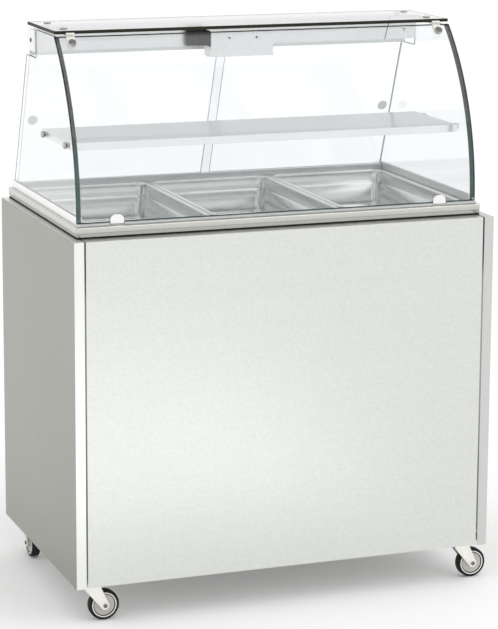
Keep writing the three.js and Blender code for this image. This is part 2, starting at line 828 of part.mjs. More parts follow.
function displayShelf() {
  const half = sideInner - SHELF.sideGap;
  const low = shelfTop - SHELF.edge;
  const whole = wide(half, shelfFront, shelfBack, low, shelfTop);
  const hollow = wide(
    half - SHEET,
    shelfFront + SHEET,
    shelfBack - SHEET,
    low - PAST,
    shelfTop - SHEET,
  );
  const reach = half + PAST;
  const holes = studY.map((y) => bar("x", STUD.shank + STUD.slack, -reach, reach, y, studZ, 16));
  return cut(whole, hollow, ...holes);
}

function shelfStud(y) {
  const tip = sideInner - SHELF.sideGap - SHEET - STUD.inside;
  const headIn = sideOuter + SEAT;
  const shank = bar("x", STUD.shank, tip, headIn + PAST, y, studZ, 16);
  const head = bar("x", STUD.head, headIn, headIn + STUD.headDepth, y, studZ);
  return join(shank, head);
}

// Distance up the lean of a point at a world height, on a plane offset square to the back edge.
const upLean = (z, offset) => (z - footZ - offset * Math.sin(lean)) / Math.cos(lean);
const lowerBase = deck + SEAT + TRACK.base;
const upperTop = beamBottom - SEAT;
const upperBase = upperTop - TRACK.base;

// A pane in the leaning frame: local Y is square to the pane and local Z runs up it.
function doorPane(x0, x1, plane) {
  const z0 = upLean(lowerBase + DOOR.slack, plane - DOOR.thickness);
  const z1 = upLean(upperBase - DOOR.slack, plane);
  return box(x0, x1, plane - DOOR.thickness, plane, z0, z1);
}

function leaningSlot(half, plane, z0, z1) {
  const y0 = plane - DOOR.thickness - DOOR.slack;
  const y1 = plane + DOOR.slack;
  const slot = wide(half, y0, y1, z0, z1);
  return slot.rotate([THREE.MathUtils.radToDeg(lean), 0, 0]).translate([0, footY, footZ]);
}

function trackBlock(low, high, half) {
  const y0 = leanY(high, doorPlanes[1] - DOOR.thickness - DOOR.slack) - TRACK.wall;
  const y1 = leanY(low, doorPlanes[0] + DOOR.slack) + TRACK.wall;
  return wide(half, y0, y1, low, high);
}

function lowerTrack() {
  const low = deck + SEAT;
  const half = channelInner - DOOR.slack;
  const slots = doorPlanes.map((plane) => {
    const z0 = upLean(lowerBase, plane - DOOR.thickness - DOOR.slack);
    return leaningSlot(half + PAST, plane, z0, z0 + TRACK.tall);
  });
  return cut(trackBlock(low, low + TRACK.height, half), ...slots);
}

function upperTrack() {
  const half = sideInner - GLASS.clearance;
  const slots = doorPlanes.map((plane) => {
    const z1 = upLean(upperBase, plane + DOOR.slack);
    return leaningSlot(half + PAST, plane, z1 - TRACK.tall, z1);
  });
  return cut(trackBlock(upperTop - TRACK.upper, upperTop, half), ...slots);
}

// Leaf under the top pane, with a lug out to the pin that the curved glass hangs from.
function hingeBracket(x) {
  const high = topGlassBottom - SEAT;
  const low = high - HINGE.plate;
  const half = HINGE.width / 2;
  const lug = HINGE.lug / 2;
  const leafFront = topGlassFront + HINGE.leafGap;
  const parts = join(
    wide(half, leafFront, leafFront + HINGE.leaf, low, high),
    wide(lug, hingeY, leafFront + PAST, low, high),
    bar("x", HINGE.barrel, -lug, lug, hingeY, hingeZ, 20),
    bar("x", HINGE.pin, -half, half, hingeY, hingeZ, 12),
  );
  return parts.translate([x, 0, 0]);
}

// Plate and clamp disc on the curved glass, in a frame at its top edge: local -Y out of the pane, local Z up it.
function hingeClamp() {
  const { pad, barrel, tab } = HINGE;
  const half = HINGE.width / 2;
  const inner = HINGE.lug / 2 + SEAT;
  const offset = new THREE.Vector2(hingeY - glassTopY, hingeZ - glassTopZ);
  const axis = offset.rotateAround(new THREE.Vector2(), glassAngle);
  const parts = [
    wide(half, -tab, -pad, -HINGE.tail, axis.y - barrel - pad),
    bar("y", HINGE.disc, -HINGE.discOut, -pad, 0, -HINGE.discDrop),
  ];
  for (const [, side] of SIDES) {
    const knuckle = join(
      bar("x", barrel, inner, half, axis.x, axis.y, 20),
      box(inner, half, axis.x, -pad, axis.y - barrel - 2 * PAST, axis.y),
    );
    parts.push(mirrored(knuckle, side));
  }
  const bore = bar("x", HINGE.pin + HINGE.play, -half - PAST, half + PAST, axis.x, axis.y, 16);
  return cut(join(...parts), bore);
}

// ---------------------------------------------------------------- castors

const wheelR = CASTOR.wheel / 2;
const hubR = wheelR - CASTOR.tyreDepth;
const halfTyre = CASTOR.width / 2;
const forkInner = halfTyre + CASTOR.forkGap;
const forkOuter = forkInner + CASTOR.forkWall;
const plateBottom = castorHeight - CASTOR.plateThickness;
const raceBottom = plateBottom - CASTOR.raceDepth;
const crownTop = raceBottom - SEAT;
const crownBottom = crownTop - CASTOR.crown;

function castorPlate() {
  const half = CASTOR.plate / 2;
  return join(
    box(-half, half, -half, half, plateBottom, castorHeight),
    bar("z", CASTOR.race, raceBottom, plateBottom + PAST, 0, 0),
  );
}

// Swept leg: broad under the crown, narrowing to a round eye at the axle.
function forkLeg() {
  const { trail, crownFront, crownBack, eye } = CASTOR;
  const leg = new THREE.Shape();
  leg.moveTo(-crownBack, crownTop);
  leg.lineTo(-crownBack, crownTop - 12);
  leg.lineTo(trail - 8, wheelR - 7);
  leg.absarc(trail, wheelR, eye, Math.PI * 1.25, Math.PI * 2.1, false);
  leg.lineTo(crownFront, crownTop - 8);
  leg.lineTo(crownFront, crownTop);
  leg.closePath();
  return leg;
}

function castorFork() {
  const leg = forkLeg();
  const { trail } = CASTOR;
  const axleEnd = forkOuter + CASTOR.axleHeadDepth;
  const headStart = forkOuter - CASTOR.forkWall / 5;
  return join(
    box(-CASTOR.crownBack, CASTOR.crownFront, -forkOuter, forkOuter, crownBottom, crownTop),
    prismY(leg, -forkOuter, -forkInner, 6),
    prismY(leg, forkInner, forkOuter, 6),
    bar("y", CASTOR.axle, -axleEnd, axleEnd, trail, wheelR, 20),
    bar("y", CASTOR.axleHead, -axleEnd, -headStart, trail, wheelR, 6),
    bar("y", CASTOR.axleHead, headStart, axleEnd, trail, wheelR, 6),
  );
}

function castorWheel() {
  const bore = CASTOR.axle + CASTOR.bore;
  const rim = halfTyre - 1;
  const boss = forkInner - 1;
  const web = CASTOR.web / 2;
  return turned([
    [bore, -boss],
    [CASTOR.hub, -boss],
    [hubR - web, -web],
    [hubR, -rim],
    [hubR, rim],
    [hubR - web, web],
    [CASTOR.hub, boss],
    [bore, boss],
  ]);
}

function castorTyre() {
  const inner = hubR + SEAT;
  const { tread } = CASTOR;
  return turned([
    [inner, -halfTyre + 1],
    [wheelR - tread, -halfTyre],
    [wheelR, -halfTyre + 2 * tread],
    [wheelR, halfTyre - 2 * tread],
    [wheelR - tread, halfTyre],
    [inner, halfTyre - 1],
  ]);
}

// Foot lever on the side away from the wheel: an eye between the fork legs and a sloping tread.
function brakePedal() {
  const x = -PEDAL.back;
  const z = crownBottom - PEDAL.drop;
  const half = forkInner - PEDAL.clear;
  const eye = PEDAL.thickness / 2;
  const end = x - PEDAL.reach;
  const low = z - PEDAL.fall;
  const tread = new THREE.Shape();
  tread.moveTo(x - eye, z - eye - 2);
  tread.lineTo(x + 2, z - eye);
  tread.lineTo(x + 2, z + eye);
  tread.lineTo(x - 2 * eye, z + eye + 1);
  tread.lineTo(end, low);
  tread.lineTo(end, low - PEDAL.thickness);
  tread.lineTo(end + PEDAL.thickness, low - PEDAL.thickness);
  tread.closePath();
  return prismY(tread, -half, half, 4);
}

function castor(name, x, y, turn, braked) {
  const holder = group();
  holder.position.set(x, y, 0);
  holder.rotation.z = THREE.MathUtils.degToRad(turn);
  add(name + "_plate", castorPlate(), "zinc", holder);
  add(name + "_fork", castorFork(), "zinc", holder);
  const axle = group(holder);
  axle.position.set(CASTOR.trail, 0, wheelR);
  add(name + "_wheel", castorWheel(), "hub", axle);
  add(name + "_tyre", castorTyre(), "rubber", axle);
  if (braked) add(name + "_brake", brakePedal(), "black", holder);
}

// ---------------------------------------------------------------- assembly

for (const [name, side] of SIDES) add(name + "_side_panel", mirrored(sidePanel(), side), "brushed");
add("front_panel", frontPanel(), "brushed");
add("base_shelf", baseShelf(), "brushed");
add("control_panel", controlPanel(), "brushed");

const knobMesh = add("thermostat_knob", knob(), "black");
knobMesh.position.set(knobX, 0, controlZ);
["heat_switch", "light_switch"].forEach((name, i) => {
  const mesh = add(name, rocker(), i === 0 ? "red" : "black");
  mesh.position.set(switchX[i], controlFace, controlZ);
  mesh.rotation.x = THREE.MathUtils.degToRad(CONTROL.rockerTilt);
});
add("cable_gland", cableGland(), "black");

add("top_frame", topFrame(), "brushed");
add("well_tank", wellTank(), "brushed");
add("heater_element", heaterTube(), "zinc");
add("drain_valve", drainValve(), "brass");
const leverMesh = add("drain_lever", drainLever(), "red");
leverMesh.position.copy(leverPivot);

["left", "middle", "right"].forEach((name, i) => {
  const pan = add("food_pan_" + name, foodPan(), "polished");
  pan.position.set(
    (i - (PAN.count - 1) / 2) * panPitch,
    (panFront + panBack) / 2,
    deck + SEAT + PAN.rimDepth,
  );
});

for (const [name, side] of SIDES) {
  add(name + "_glass_channel", mirrored(sideChannel(), side), "satin");
  add(name + "_side_glass", mirrored(sideGlass(), side), "glass");
}
add("front_seal", frontSeal(), "silicone");
add("front_glass", frontGlass(), "glass");
add("top_glass", topGlass(), "glass");

for (const [name, side] of SIDES) {
  add(name + "_glass_grip", glassGrip(side * gripX), "satin");
  add(name + "_hinge_bracket", hingeBracket(side * hingeX), "zinc");
  const clamp = add(name + "_hinge_clamp", hingeClamp(), "zinc");
  clamp.position.set(side * hingeX, glassTopY, glassTopZ);
  clamp.rotation.x = -glassAngle;
}

add("lamp_beam", lampBeam(), "satin");
add("lamp_tube", lampTube(), "lamp");
add("ballast_box", ballastBox(), "satin");

add("display_shelf", displayShelf(), "polished");
for (const [name, side] of SIDES) {
  studY.forEach((y, i) => {
    const where = ["front", "back"][i];
    add("shelf_stud_" + name + "_" + where, mirrored(shelfStud(y), side), "zinc");
  });
}

add("lower_door_track", lowerTrack(), "satin");
add("upper_door_track", upperTrack(), "satin");
const leaning = group();
leaning.position.set(0, footY, footZ);
leaning.rotation.x = lean;
const doorEnd = channelInner - DOOR.sideGap;
add("rear_door_left", doorPane(-doorEnd, DOOR.overlap / 2, doorPlanes[0]), "glass", leaning);
add("rear_door_right", doorPane(-DOOR.overlap / 2, doorEnd, doorPlanes[1]), "glass", leaning);

const castorX = halfWidth - CASTOR.sideClear - CASTOR.plate / 2;
const castorY = back - CABINET.frontReturn - CASTOR.clear - CASTOR.plate / 2;
for (const [name, side] of SIDES) {
  castor("castor_front_" + name, side * castorX, -castorY, 0, false);
  castor("castor_rear_" + name, side * castorX, castorY, CASTOR.turn, true);
}

export default unit;
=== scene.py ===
import math

import bmesh
import bpy
from mathutils import Matrix, Vector
from mathutils.geometry import tessellate_polygon


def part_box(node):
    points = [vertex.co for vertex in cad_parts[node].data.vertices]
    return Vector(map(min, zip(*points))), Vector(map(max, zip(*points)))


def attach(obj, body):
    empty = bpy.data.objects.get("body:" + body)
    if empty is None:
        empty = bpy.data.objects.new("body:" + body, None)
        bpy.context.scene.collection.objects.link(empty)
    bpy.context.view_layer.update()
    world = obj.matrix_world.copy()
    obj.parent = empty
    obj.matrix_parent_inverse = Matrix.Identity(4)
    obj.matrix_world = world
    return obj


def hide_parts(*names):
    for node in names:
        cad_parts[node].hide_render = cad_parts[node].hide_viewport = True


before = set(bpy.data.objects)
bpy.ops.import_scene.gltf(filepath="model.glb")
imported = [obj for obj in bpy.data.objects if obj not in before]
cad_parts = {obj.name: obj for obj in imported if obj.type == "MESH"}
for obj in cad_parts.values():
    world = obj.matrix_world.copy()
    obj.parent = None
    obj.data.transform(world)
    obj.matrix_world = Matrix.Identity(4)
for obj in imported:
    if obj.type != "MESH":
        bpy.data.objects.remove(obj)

bl_info = {
    "name": "Steam Table Unit",
    "version": (1, 0, 0),
    "blender": (4, 5, 0),
    "location": "3D View > Sidebar > Steam Table",
    "description": "Builds the finished look of a heated serving counter around its packed frame",
    "category": "Object",
}

MM = 0.001
FOOT = 2 * MM  # the top frame stands on a foot of this height, inside its fascia
KNOB_SHAFT = 18 * MM  # of the knob's shaft behind the control panel's face
CROWN_GAP = 0.3 * MM  # between a castor's race and its fork
END_SCREW = (6 * MM, 2.4 * MM)  # radius and height of the screws at the beam's ends

# Section of the top frame in millimetres: the outline it follows, how far outside that, and its height
# above the deck or above the fascia's foot.
FRAME_SECTION = (
    ("well", 0, "deck", -1.5),
    ("well", 0, "deck", -0.4),
    ("well", 0.4, "deck", 0),
    ("deck", -2.6, "deck", 0),
    ("deck", -1.2, "deck", -0.35),
    ("deck", -0.3, "deck", -1.3),
    ("deck", 0, "deck", -2.6),
    ("deck", 0, "deck", -12.4),
    ("deck", -1.1, "deck", -12.9),
    ("deck", -1.1, "deck", -13.8),
    ("deck", -0.2, "deck", -14.3),
    ("deck", -1.6, "foot", 2.2),
    ("deck", -2.4, "foot", 0.6),
    ("deck", -3.8, "foot", 0),
    ("deck", -5.8, "foot", 0.4),
    ("deck", -6, "deck", -1.5),
)

SIDES = (("left", -1), ("right", 1))
CASTORS = [(end, side) for end in ("front", "rear") for side, _ in SIDES]


# ---------------------------------------------------------------- settings


def colour(name, description, default):
    return bpy.props.FloatVectorProperty(
        name=name, description=description, default=default, subtype="COLOR", size=3, min=0, max=1
    )


def length(name, description, default):
    return bpy.props.FloatProperty(
        name=name, description=description, default=default, subtype="DISTANCE", unit="LENGTH"
    )


def share(name, description, default):
    return bpy.props.FloatProperty(
        name=name, description=description, default=default, subtype="FACTOR", min=0, max=1
    )


def angle(name, description, default):
    return bpy.props.FloatProperty(
        name=name, description=description, default=default, subtype="ANGLE", unit="ROTATION"
    )


class FinishSettings(bpy.types.PropertyGroup):
    """Colours and roughness of the finishes."""

    steel: colour("Steel", "Brushed sheet of the cabinet", (0.736, 0.750, 0.727))
    # Painted shade: the side panels are the same steel as the front, painted this much darker for the shade
    # on the cabinet's sides.
    painted_shade_side_steel: colour("Side steel", "Brushed sheet of the side panels", (0.344, 0.349, 0.306))
    frame_steel: colour("Frame steel", "Smoother sheet of the top frame", (0.70, 0.70, 0.66))
    shelf_steel: colour("Shelf steel", "Bright sheet of the display shelf", (0.90, 0.905, 0.90))
    bright_steel: colour("Bright steel", "Pans and cross bars", (0.72, 0.725, 0.71))
    satin: colour("Satin", "Lamp beam, channels and grips", (0.97, 0.97, 0.96))
    zinc: colour("Zinc", "Plated castor and hinge parts", (0.92, 0.92, 0.90))
    glass: colour("Glass", "Tint of the panes", (0.955, 0.970, 0.978))
    # Painted shade: the pane edges are painted near black high up; lower down they keep the glass's own sea
    # green.
    edge_painted_shade: colour("Upper edge", "Pane edges high up", (0.020, 0.021, 0.012))
    edge_teal: colour("Lower edge", "Pane edges low down", (0.055, 0.115, 0.105))
    rubber: colour("Rubber", "Tyres, gasket and washers", (0.014, 0.014, 0.015))
    silicone: colour("Silicone", "Pale seal under the curved pane", (0.62, 0.63, 0.62))
    track: colour("Track", "Satin tracks of the rear doors", (0.84, 0.85, 0.85))
    hub: colour("Hub", "Moulded castor hubs", (0.50, 0.49, 0.45))
    hub_ring: colour("Hub ring", "Pale ring round each hub", (0.88, 0.87, 0.82))
    black: colour("Black", "Moulded knob, switches and pedals", (0.020, 0.020, 0.022))
    red: colour("Red", "Rocker and drain lever", (0.50, 0.022, 0.015))
    brass: colour("Brass", "Drain valve", (0.62, 0.44, 0.18))
    lamp: colour("Lamp", "Coated lamp glass", (0.95, 0.95, 0.92))
    pane_rim: colour("Door edge", "Pale ground edges of the rear doors", (0.62, 0.68, 0.67))
    winding: colour("Winding", "Dark laminations of the ballast", (0.03, 0.03, 0.032))
    pilot: colour("Pilot", "Lens of the pilot lamp", (0.75, 0.10, 0.02))
    ivory: colour("Ivory", "Pointer of the knob", (0.78, 0.77, 0.72))
    milky: colour("Milky", "Finger pulls of the rear doors", (0.84, 0.86, 0.86))
    brushed_roughness: share("Brushed roughness", "Roughness of the brushed sheet", 0.34)
    bright_roughness: share("Bright roughness", "Roughness of the pans and the shelf", 0.20)


class GlassSettings(bpy.types.PropertyGroup):
    """The curved pane and the edges of all the panes."""

    radius: length("Bend radius", "Outside radius of the curved pane", 580 * MM)
    thickness: length("Thickness", "Thickness of the curved pane", 6 * MM)
    upright: length("Upright", "Straight stretch at the foot of the curved pane", 6 * MM)
    chamfer: length("Chamfer", "Round-ground edge of the fixed and the curved panes", 2.2 * MM)
    door_chamfer: length("Door chamfer", "Ground edge of the rear doors", 0.6 * MM)
    # The dark strips are painted shade along the curved pane's ends.
    strip: length("Edge strip", "Width of the dark strips inside the curved pane's ends", 7 * MM)
    strip_inset: length("Strip inset", "From the pane's end to its dark strip", 0.8 * MM)
    pull: length("Finger pull", "Radius of the round pulls on the rear doors", 13 * MM)
    pull_high: length("Pull height", "Height of the pulls above the doors' lower edge", 190 * MM)
    pull_in: length("Pull inset", "From a door's outer edge to its pull", 24 * MM)


class PanSettings(bpy.types.PropertyGroup):
    """The pressed food pans."""

    rim: length("Rim", "Width of the rolled rim", 10 * MM)
    lip: length("Lip", "Depth of the rim's turned edge", 3.2 * MM)
    wall: length("Wall", "Sheet of the bowl", 1.0 * MM)
    corner: length("Corner", "Corner radius at the mouth", 22 * MM)
    draft: length("Draft", "How far the walls lean in by the bottom", 8 * MM)
    shoulder: length("Shoulder", "Depth of the stacking step", 32 * MM)
    step: length("Step", "Width of the stacking step", 2.5 * MM)
    bottom: length("Bottom radius", "Round between wall and bottom", 13 * MM)
    bar: length("Cross bar", "Width of the bars between the pans", 17 * MM)


class LampSettings(bpy.types.PropertyGroup):
    """Lamp beam, its ballast and its end cover."""

    cover: length("End cover", "Length of the cover at the beam's right end", 91 * MM)
    cover_slant: length("Cover slant", "How far the cover's edge leans over its height", 14 * MM)
    cover_screw: length("Cover screw", "From the beam's end to the screw", 38 * MM)
    block: length("Ballast block", "Width of the ribbed block", 49 * MM)
    block_height: length("Block height", "Height of the ribbed block", 40 * MM)
    block_depth: length("Block depth", "Depth of the ribbed block", 16 * MM)
    cap: length("Lamp cap", "Length of the caps at the ends of the lamp", 11 * MM)


class ControlSettings(bpy.types.PropertyGroup):
    """Knob, switches, pilot lamp and gland on the rear panel."""

    flutes: bpy.props.IntProperty(name="Flutes", description="Grooves round the knob", default=12, min=3)
    ticks: bpy.props.IntProperty(name="Ticks", description="Marks round the knob", default=11, min=2)
    dial: length("Dial", "Radius of the ring of marks", 26 * MM)
    bezel: length("Bezel", "Width of the frames round the switches", 3.2 * MM)
    pilot: length("Pilot lamp", "Radius of the pilot lamp", 6 * MM)
    pilot_gap: length("Pilot gap", "From the last switch to the pilot lamp", 45 * MM)


class CastorSettings(bpy.types.PropertyGroup):
    """Pressed castors with moulded wheels."""

    tyre: length("Tyre depth", "Rubber round the wheel", 7 * MM)
    leg: length("Leg", "Sheet of the fork legs", 2.5 * MM)
    eye: length("Eye", "Radius of the leg's end at the axle", 10.5 * MM)
    ridge: length("Ridge", "Height of the pressing on the fork legs", 1.4 * MM)
    bolt: length("Bolt", "Half width of the axle nuts", 5 * MM)


class StageSettings(bpy.types.PropertyGroup):
    """Floor, light and camera."""

    camera_place: bpy.props.FloatVectorProperty(
        name="Camera place",
        description="Where the camera stands",
        default=(-2.1101, -5.7078, 2.0138),
        subtype="TRANSLATION",
        unit="LENGTH",
    )
    yaw: angle("Yaw", "Camera turned to the right of straight ahead", 0.3566)
    pitch: angle("Pitch", "Camera tipped down", 0.194)
    roll: angle("Roll", "Camera rolled", 0.0056)
    lens: bpy.props.FloatProperty(
        name="Lens", description="Focal length in millimetres", default=141.71, min=1
    )
    shift: bpy.props.FloatProperty(name="Shift", description="Vertical lens shift", default=-0.1)
    floor: colour("Floor", "Pale floor", (0.97, 0.97, 0.97))
    ambient: bpy.props.FloatProperty(
        name="Ambient", description="Strength of the light from all round", default=0.93, min=0
    )
    sun: bpy.props.FloatProperty(
        name="Soft sun", description="Strength of the broad light from the front right", default=0.4, min=0
    )
    glow: bpy.props.FloatProperty(
        name="Front glow", description="Strength of the bright patch before the cabinet", default=0.52, min=0
    )


# ---------------------------------------------------------------- shader nodes


class Value:
    """An output of a shader node. Arithmetic on it adds Math nodes."""

    def __init__(self, shader, socket):
        self.shader = shader
        self.socket = socket

    def math(self, operation, *inputs):
        return self.shader.node("ShaderNodeMath", {"operation": operation}, dict(enumerate(inputs)))

    def __add__(self, other):
        return self.math("ADD", self, other)

    def __radd__(self, other):
        return self.math("ADD", other, self)

    def __sub__(self, other):
        return self.math("SUBTRACT", self, other)

    def __rsub__(self, other):
        return self.math("SUBTRACT", other, self)

    def __mul__(self, other):
        return self.math("MULTIPLY", self, other)

    def __rmul__(self, other):
        return self.math("MULTIPLY", other, self)

    def __pow__(self, other):
        return self.math("POWER", self, other)

    def __gt__(self, other):
        return self.math("GREATER_THAN", self, other)


class Shader:
    """The node tree of one material or world."""

    def __init__(self, owner):
        owner.use_nodes = True
        self.owner = owner
        self.tree = owner.node_tree
        self.tree.nodes.clear()

    def node(self, kind, settings=None, inputs=None, output=0):
        """Adds a node: its settings first, then the values or links of its sockets."""
        made = self.tree.nodes.new(kind)
        for key, setting in (settings or {}).items():
            if key == "stops":
                self.set_stops(made.color_ramp, setting)
            else:
                setattr(made, key, setting)
        for key, given in (inputs or {}).items():
            if isinstance(given, Value):
                self.tree.links.new(given.socket, made.inputs[key])
            else:
                made.inputs[key].default_value = given
        return Value(self, made.outputs[output]) if made.outputs else None

    @staticmethod
    def set_stops(ramp, stops):
        while len(ramp.elements) < len(stops):
            ramp.elements.new(1)
        for element, (place, tone) in zip(ramp.elements, stops):
            element.position = place
            element.color = tone if len(tone) == 4 else (*tone, 1)

    def place(self):
        return self.node("ShaderNodeTexCoord", output="Object")

    def noise(self, stretch, scale=1.0, detail=2.0, rough=0.5):
        """Noise in the part's own frame, stretched by a factor for each axis."""
        where = self.node("ShaderNodeVectorMath", {"operation": "MULTIPLY"}, {0: self.place(), 1: stretch})
        sockets = {"Vector": where, "Scale": scale, "Detail": detail, "Roughness": rough}
        return self.node("ShaderNodeTexNoise", {}, sockets)

    def blend(self, factor, first, second):
        """A colour between two colours."""
        first = first if isinstance(first, Value) else (*first[:3], 1)
        second = second if isinstance(second, Value) else (*second[:3], 1)
        sockets = {0: factor, 6: first, 7: second}
        return self.node("ShaderNodeMix", {"data_type": "RGBA"}, sockets, output=2)

    def ramp(self, factor, stops):
        return self.node("ShaderNodeValToRGB", {"stops": stops}, {"Fac": factor})

    def bump(self, height, distance, strength=1.0):
        sockets = {"Height": height, "Distance": distance, "Strength": strength}
        return self.node("ShaderNodeBump", {}, sockets)

    def principled(self, sockets):
        shown = self.node("ShaderNodeBsdfPrincipled", {}, sockets)
        self.node("ShaderNodeOutputMaterial", {}, {"Surface": shown})
        return self.owner


def new_shader(name):
    return Shader(bpy.data.materials.new(name))


def toned(tint, factor):
    return tuple(min(1, channel * factor) for channel in tint)


# ---------------------------------------------------------------- finishes

ALONG = {"x": (2.5, 900, 900), "y": (900, 2.5, 900), "z": (900, 900, 2.5)}
CLOUDY = (1, 1, 1)


def brushed(name, tint, along="x", rough=0.34, depth=0.5, ends=None, foot=None):
    """Rolled sheet: long fine streaks one way, a fine mottle, faint clouds and handling marks.

    With ends given, the faces that don't look left or right take that tint instead: lit and shaded copies of
    one steel, painted light and shade.
    With foot given as (z0, z1), the sheet darkens from z1 down to z0: painted shade on the lower band of the
    fascia.
    """
    shader = new_shader(name)
    streaks = shader.noise(ALONG[along], detail=3)
    bands = shader.noise(tuple(s / 9 for s in ALONG[along]), detail=2)
    clouds = shader.noise(CLOUDY, 2.2, 3)
    marks = shader.noise(CLOUDY, 34, 5, 0.65)
    lines = streaks * 0.6 + bands * 0.4
    base = shader.blend(lines, toned(tint, 0.93), toned(tint, 1.05))
    base = shader.blend(clouds * 0.35, base, toned(tint, 0.94))
    mottle = shader.noise(CLOUDY, 130, 3, 0.6)
    base = shader.blend((mottle - 0.35) * 1.3, base, toned(tint, 0.84))
    # Painted light and shade: faces looking left or right keep the tint, the others take the ends tint.
    if ends:
        facing = shader.node("ShaderNodeNewGeometry", output="Normal")
        across = shader.node("ShaderNodeSeparateXYZ", {}, {0: facing}, output="X")
        flat = across.math("ABSOLUTE", across) > 0.5
        base = shader.blend(flat, shader.blend(lines, toned(ends, 0.95), toned(ends, 1.04)), base)
    # Painted shade: the sheet is painted darker towards its foot, down to 0.6 of the tint.
    if foot:
        height = shader.node("ShaderNodeSeparateXYZ", {}, {0: shader.place()}, output="Z")
        painted_foot_shade = shader.ramp((height - foot[0]) * (1 / (foot[1] - foot[0])), [(0, (0, 0, 0)), (1, (1, 1, 1))])
        base = shader.blend(painted_foot_shade, toned(tint, 0.60), base)
    roughness = rough + (lines - 0.5) * 0.16 + (marks - 0.5) * 0.05 + (clouds - 0.5) * 0.06
    sockets = {
        "Base Color": base,
        "Metallic": 1.0,
        "Roughness": roughness,
        "Normal": shader.bump(lines, 0.02 * MM, depth),
    }
    return shader.principled(sockets)


def bright(name, tint, rough, level=None):
    """Pressed bright sheet: fine crossing scratches and soft water marks; level faces may take a second tint,
    painted shade on the top.
    """
    shader = new_shader(name)
    first = shader.noise((4, 700, 700), detail=2)
    second = shader.noise((700, 4, 700), detail=2)
    water = shader.noise(CLOUDY, 9, 4, 0.6)
    scratches = (first * second) ** 1.5
    base = shader.blend(water, toned(tint, 0.96), toned(tint, 1.03))
    # Painted shade: faces looking up take the darker level tint.
    if level:
        facing = shader.node("ShaderNodeNewGeometry", output="Normal")
        shaded_top_mask = shader.node("ShaderNodeSeparateXYZ", {}, {0: facing}, output="Z")
        base = shader.blend(shaded_top_mask > 0.5, base, shader.blend(water, level, toned(level, 1.08)))
    sockets = {
        "Base Color": base,
        "Metallic": 1.0,
        "Roughness": rough + scratches * 0.14 + (water - 0.5) * 0.08,
        "Normal": shader.bump(scratches, 0.015 * MM, 0.5),
    }
    return shader.principled(sockets)


def plated(name, tint):
    """Zinc on pressed steel: small crystals, faint warm patches."""
    shader = new_shader(name)
    cells = shader.node("ShaderNodeTexVoronoi", {}, {"Vector": shader.place(), "Scale": 420.0})
    patches = shader.noise(CLOUDY, 26, 3)
    warm = (tint[0] * 1.04, tint[1], tint[2] * 0.90)
    base = shader.blend(patches, toned(tint, 0.98), warm)
    base = shader.blend(cells * 0.3, base, toned(tint, 0.86))
    sockets = {
        "Base Color": base,
        "Metallic": 0.9,
        "Roughness": 0.30 + cells * 0.12 + (patches - 0.5) * 0.1,
        "Normal": shader.bump(cells, 0.03 * MM, 0.4),
    }
    return shader.principled(sockets)


def moulded(name, tint, rough, grain=0.05, coat=0.0, glow=0.0):
    """Moulded plastic: fine spark-eroded grain, a little rubbed shine, and an optional glow: the pilot lamp's
    own light, and painted light on the door pulls.
    """
    shader = new_shader(name)
    fine = shader.noise(CLOUDY, 900, 2)
    rubbed = shader.noise(CLOUDY, 30, 3)
    base = shader.blend(rubbed, toned(tint, 0.88), toned(tint, 1.16))
    sockets = {
        "Base Color": base,
        "Roughness": rough + (rubbed - 0.5) * 0.16,
        "Coat Weight": coat,
        "Emission Color": (*tint, 1),
        "Emission Strength": glow,
        "Normal": shader.bump(fine, grain * MM, 0.5),
    }
    return shader.principled(sockets)


def rubber(name, tint):
    """Dull rubber with dust in its pores."""
    shader = new_shader(name)
    pores = shader.noise(CLOUDY, 620, 4, 0.7)
    dust = shader.noise(CLOUDY, 42, 4)
    base = shader.blend(dust ** 3, tint, toned(tint, 2.0))
    sockets = {
        "Base Color": base,
        "Roughness": 0.62 + (dust - 0.5) * 0.2,
        "Specular IOR Level": 0.2,
        "Normal": shader.bump(pores, 0.05 * MM, 0.6),
    }
    return shader.principled(sockets)


def cast_brass(name, tint):
    """Cast brass with a dull skin and brighter high spots."""
    shader = new_shader(name)
    sand = shader.noise(CLOUDY, 520, 4, 0.6)
    dull = shader.noise(CLOUDY, 38, 3)
    sockets = {
        "Base Color": shader.blend(dull, toned(tint, 0.72), toned(tint, 1.1)),
        "Metallic": 1.0,
        "Roughness": 0.34 + dull * 0.2,
        "Normal": shader.bump(sand, 0.05 * MM, 0.6),
    }
    return shader.principled(sockets)


def pane_face(name, tint):
    """Clear tempered glass with the faintest wipe marks."""
    shader = new_shader(name)
    wiped = shader.noise((3, 3, 9), 2, 3)
    sockets = {
        "Base Color": (*tint, 1),
        "Roughness": wiped * 0.012,
        "IOR": 1.45,
        "Transmission Weight": 1.0,
    }
    return shader.principled(sockets)


def pane_edge(name, dark, teal):
    """Ground edge of the glass: sea green towards the foot, painted nearly black above as shade."""
    shader = new_shader(name)
    height = shader.node("ShaderNodeSeparateXYZ", {}, {0: shader.place()}, output="Z")
    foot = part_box("front_glass")[0].z
    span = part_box("front_glass")[1].z - foot
    # Painted shade by height: the glass's teal at the foot, the dark tint from about two thirds up.
    base = shader.ramp((height - foot) * (1 / span), [(0, teal), (0.32, teal), (0.62, dark), (1, dark)])
    chatter = shader.noise(CLOUDY, 500, 3)
    sockets = {
        "Base Color": base,
        "Roughness": 0.40 + chatter * 0.14,
        "Specular IOR Level": 0.2,
        "Normal": shader.bump(chatter, 0.02 * MM, 0.4),
    }
    return shader.principled(sockets)


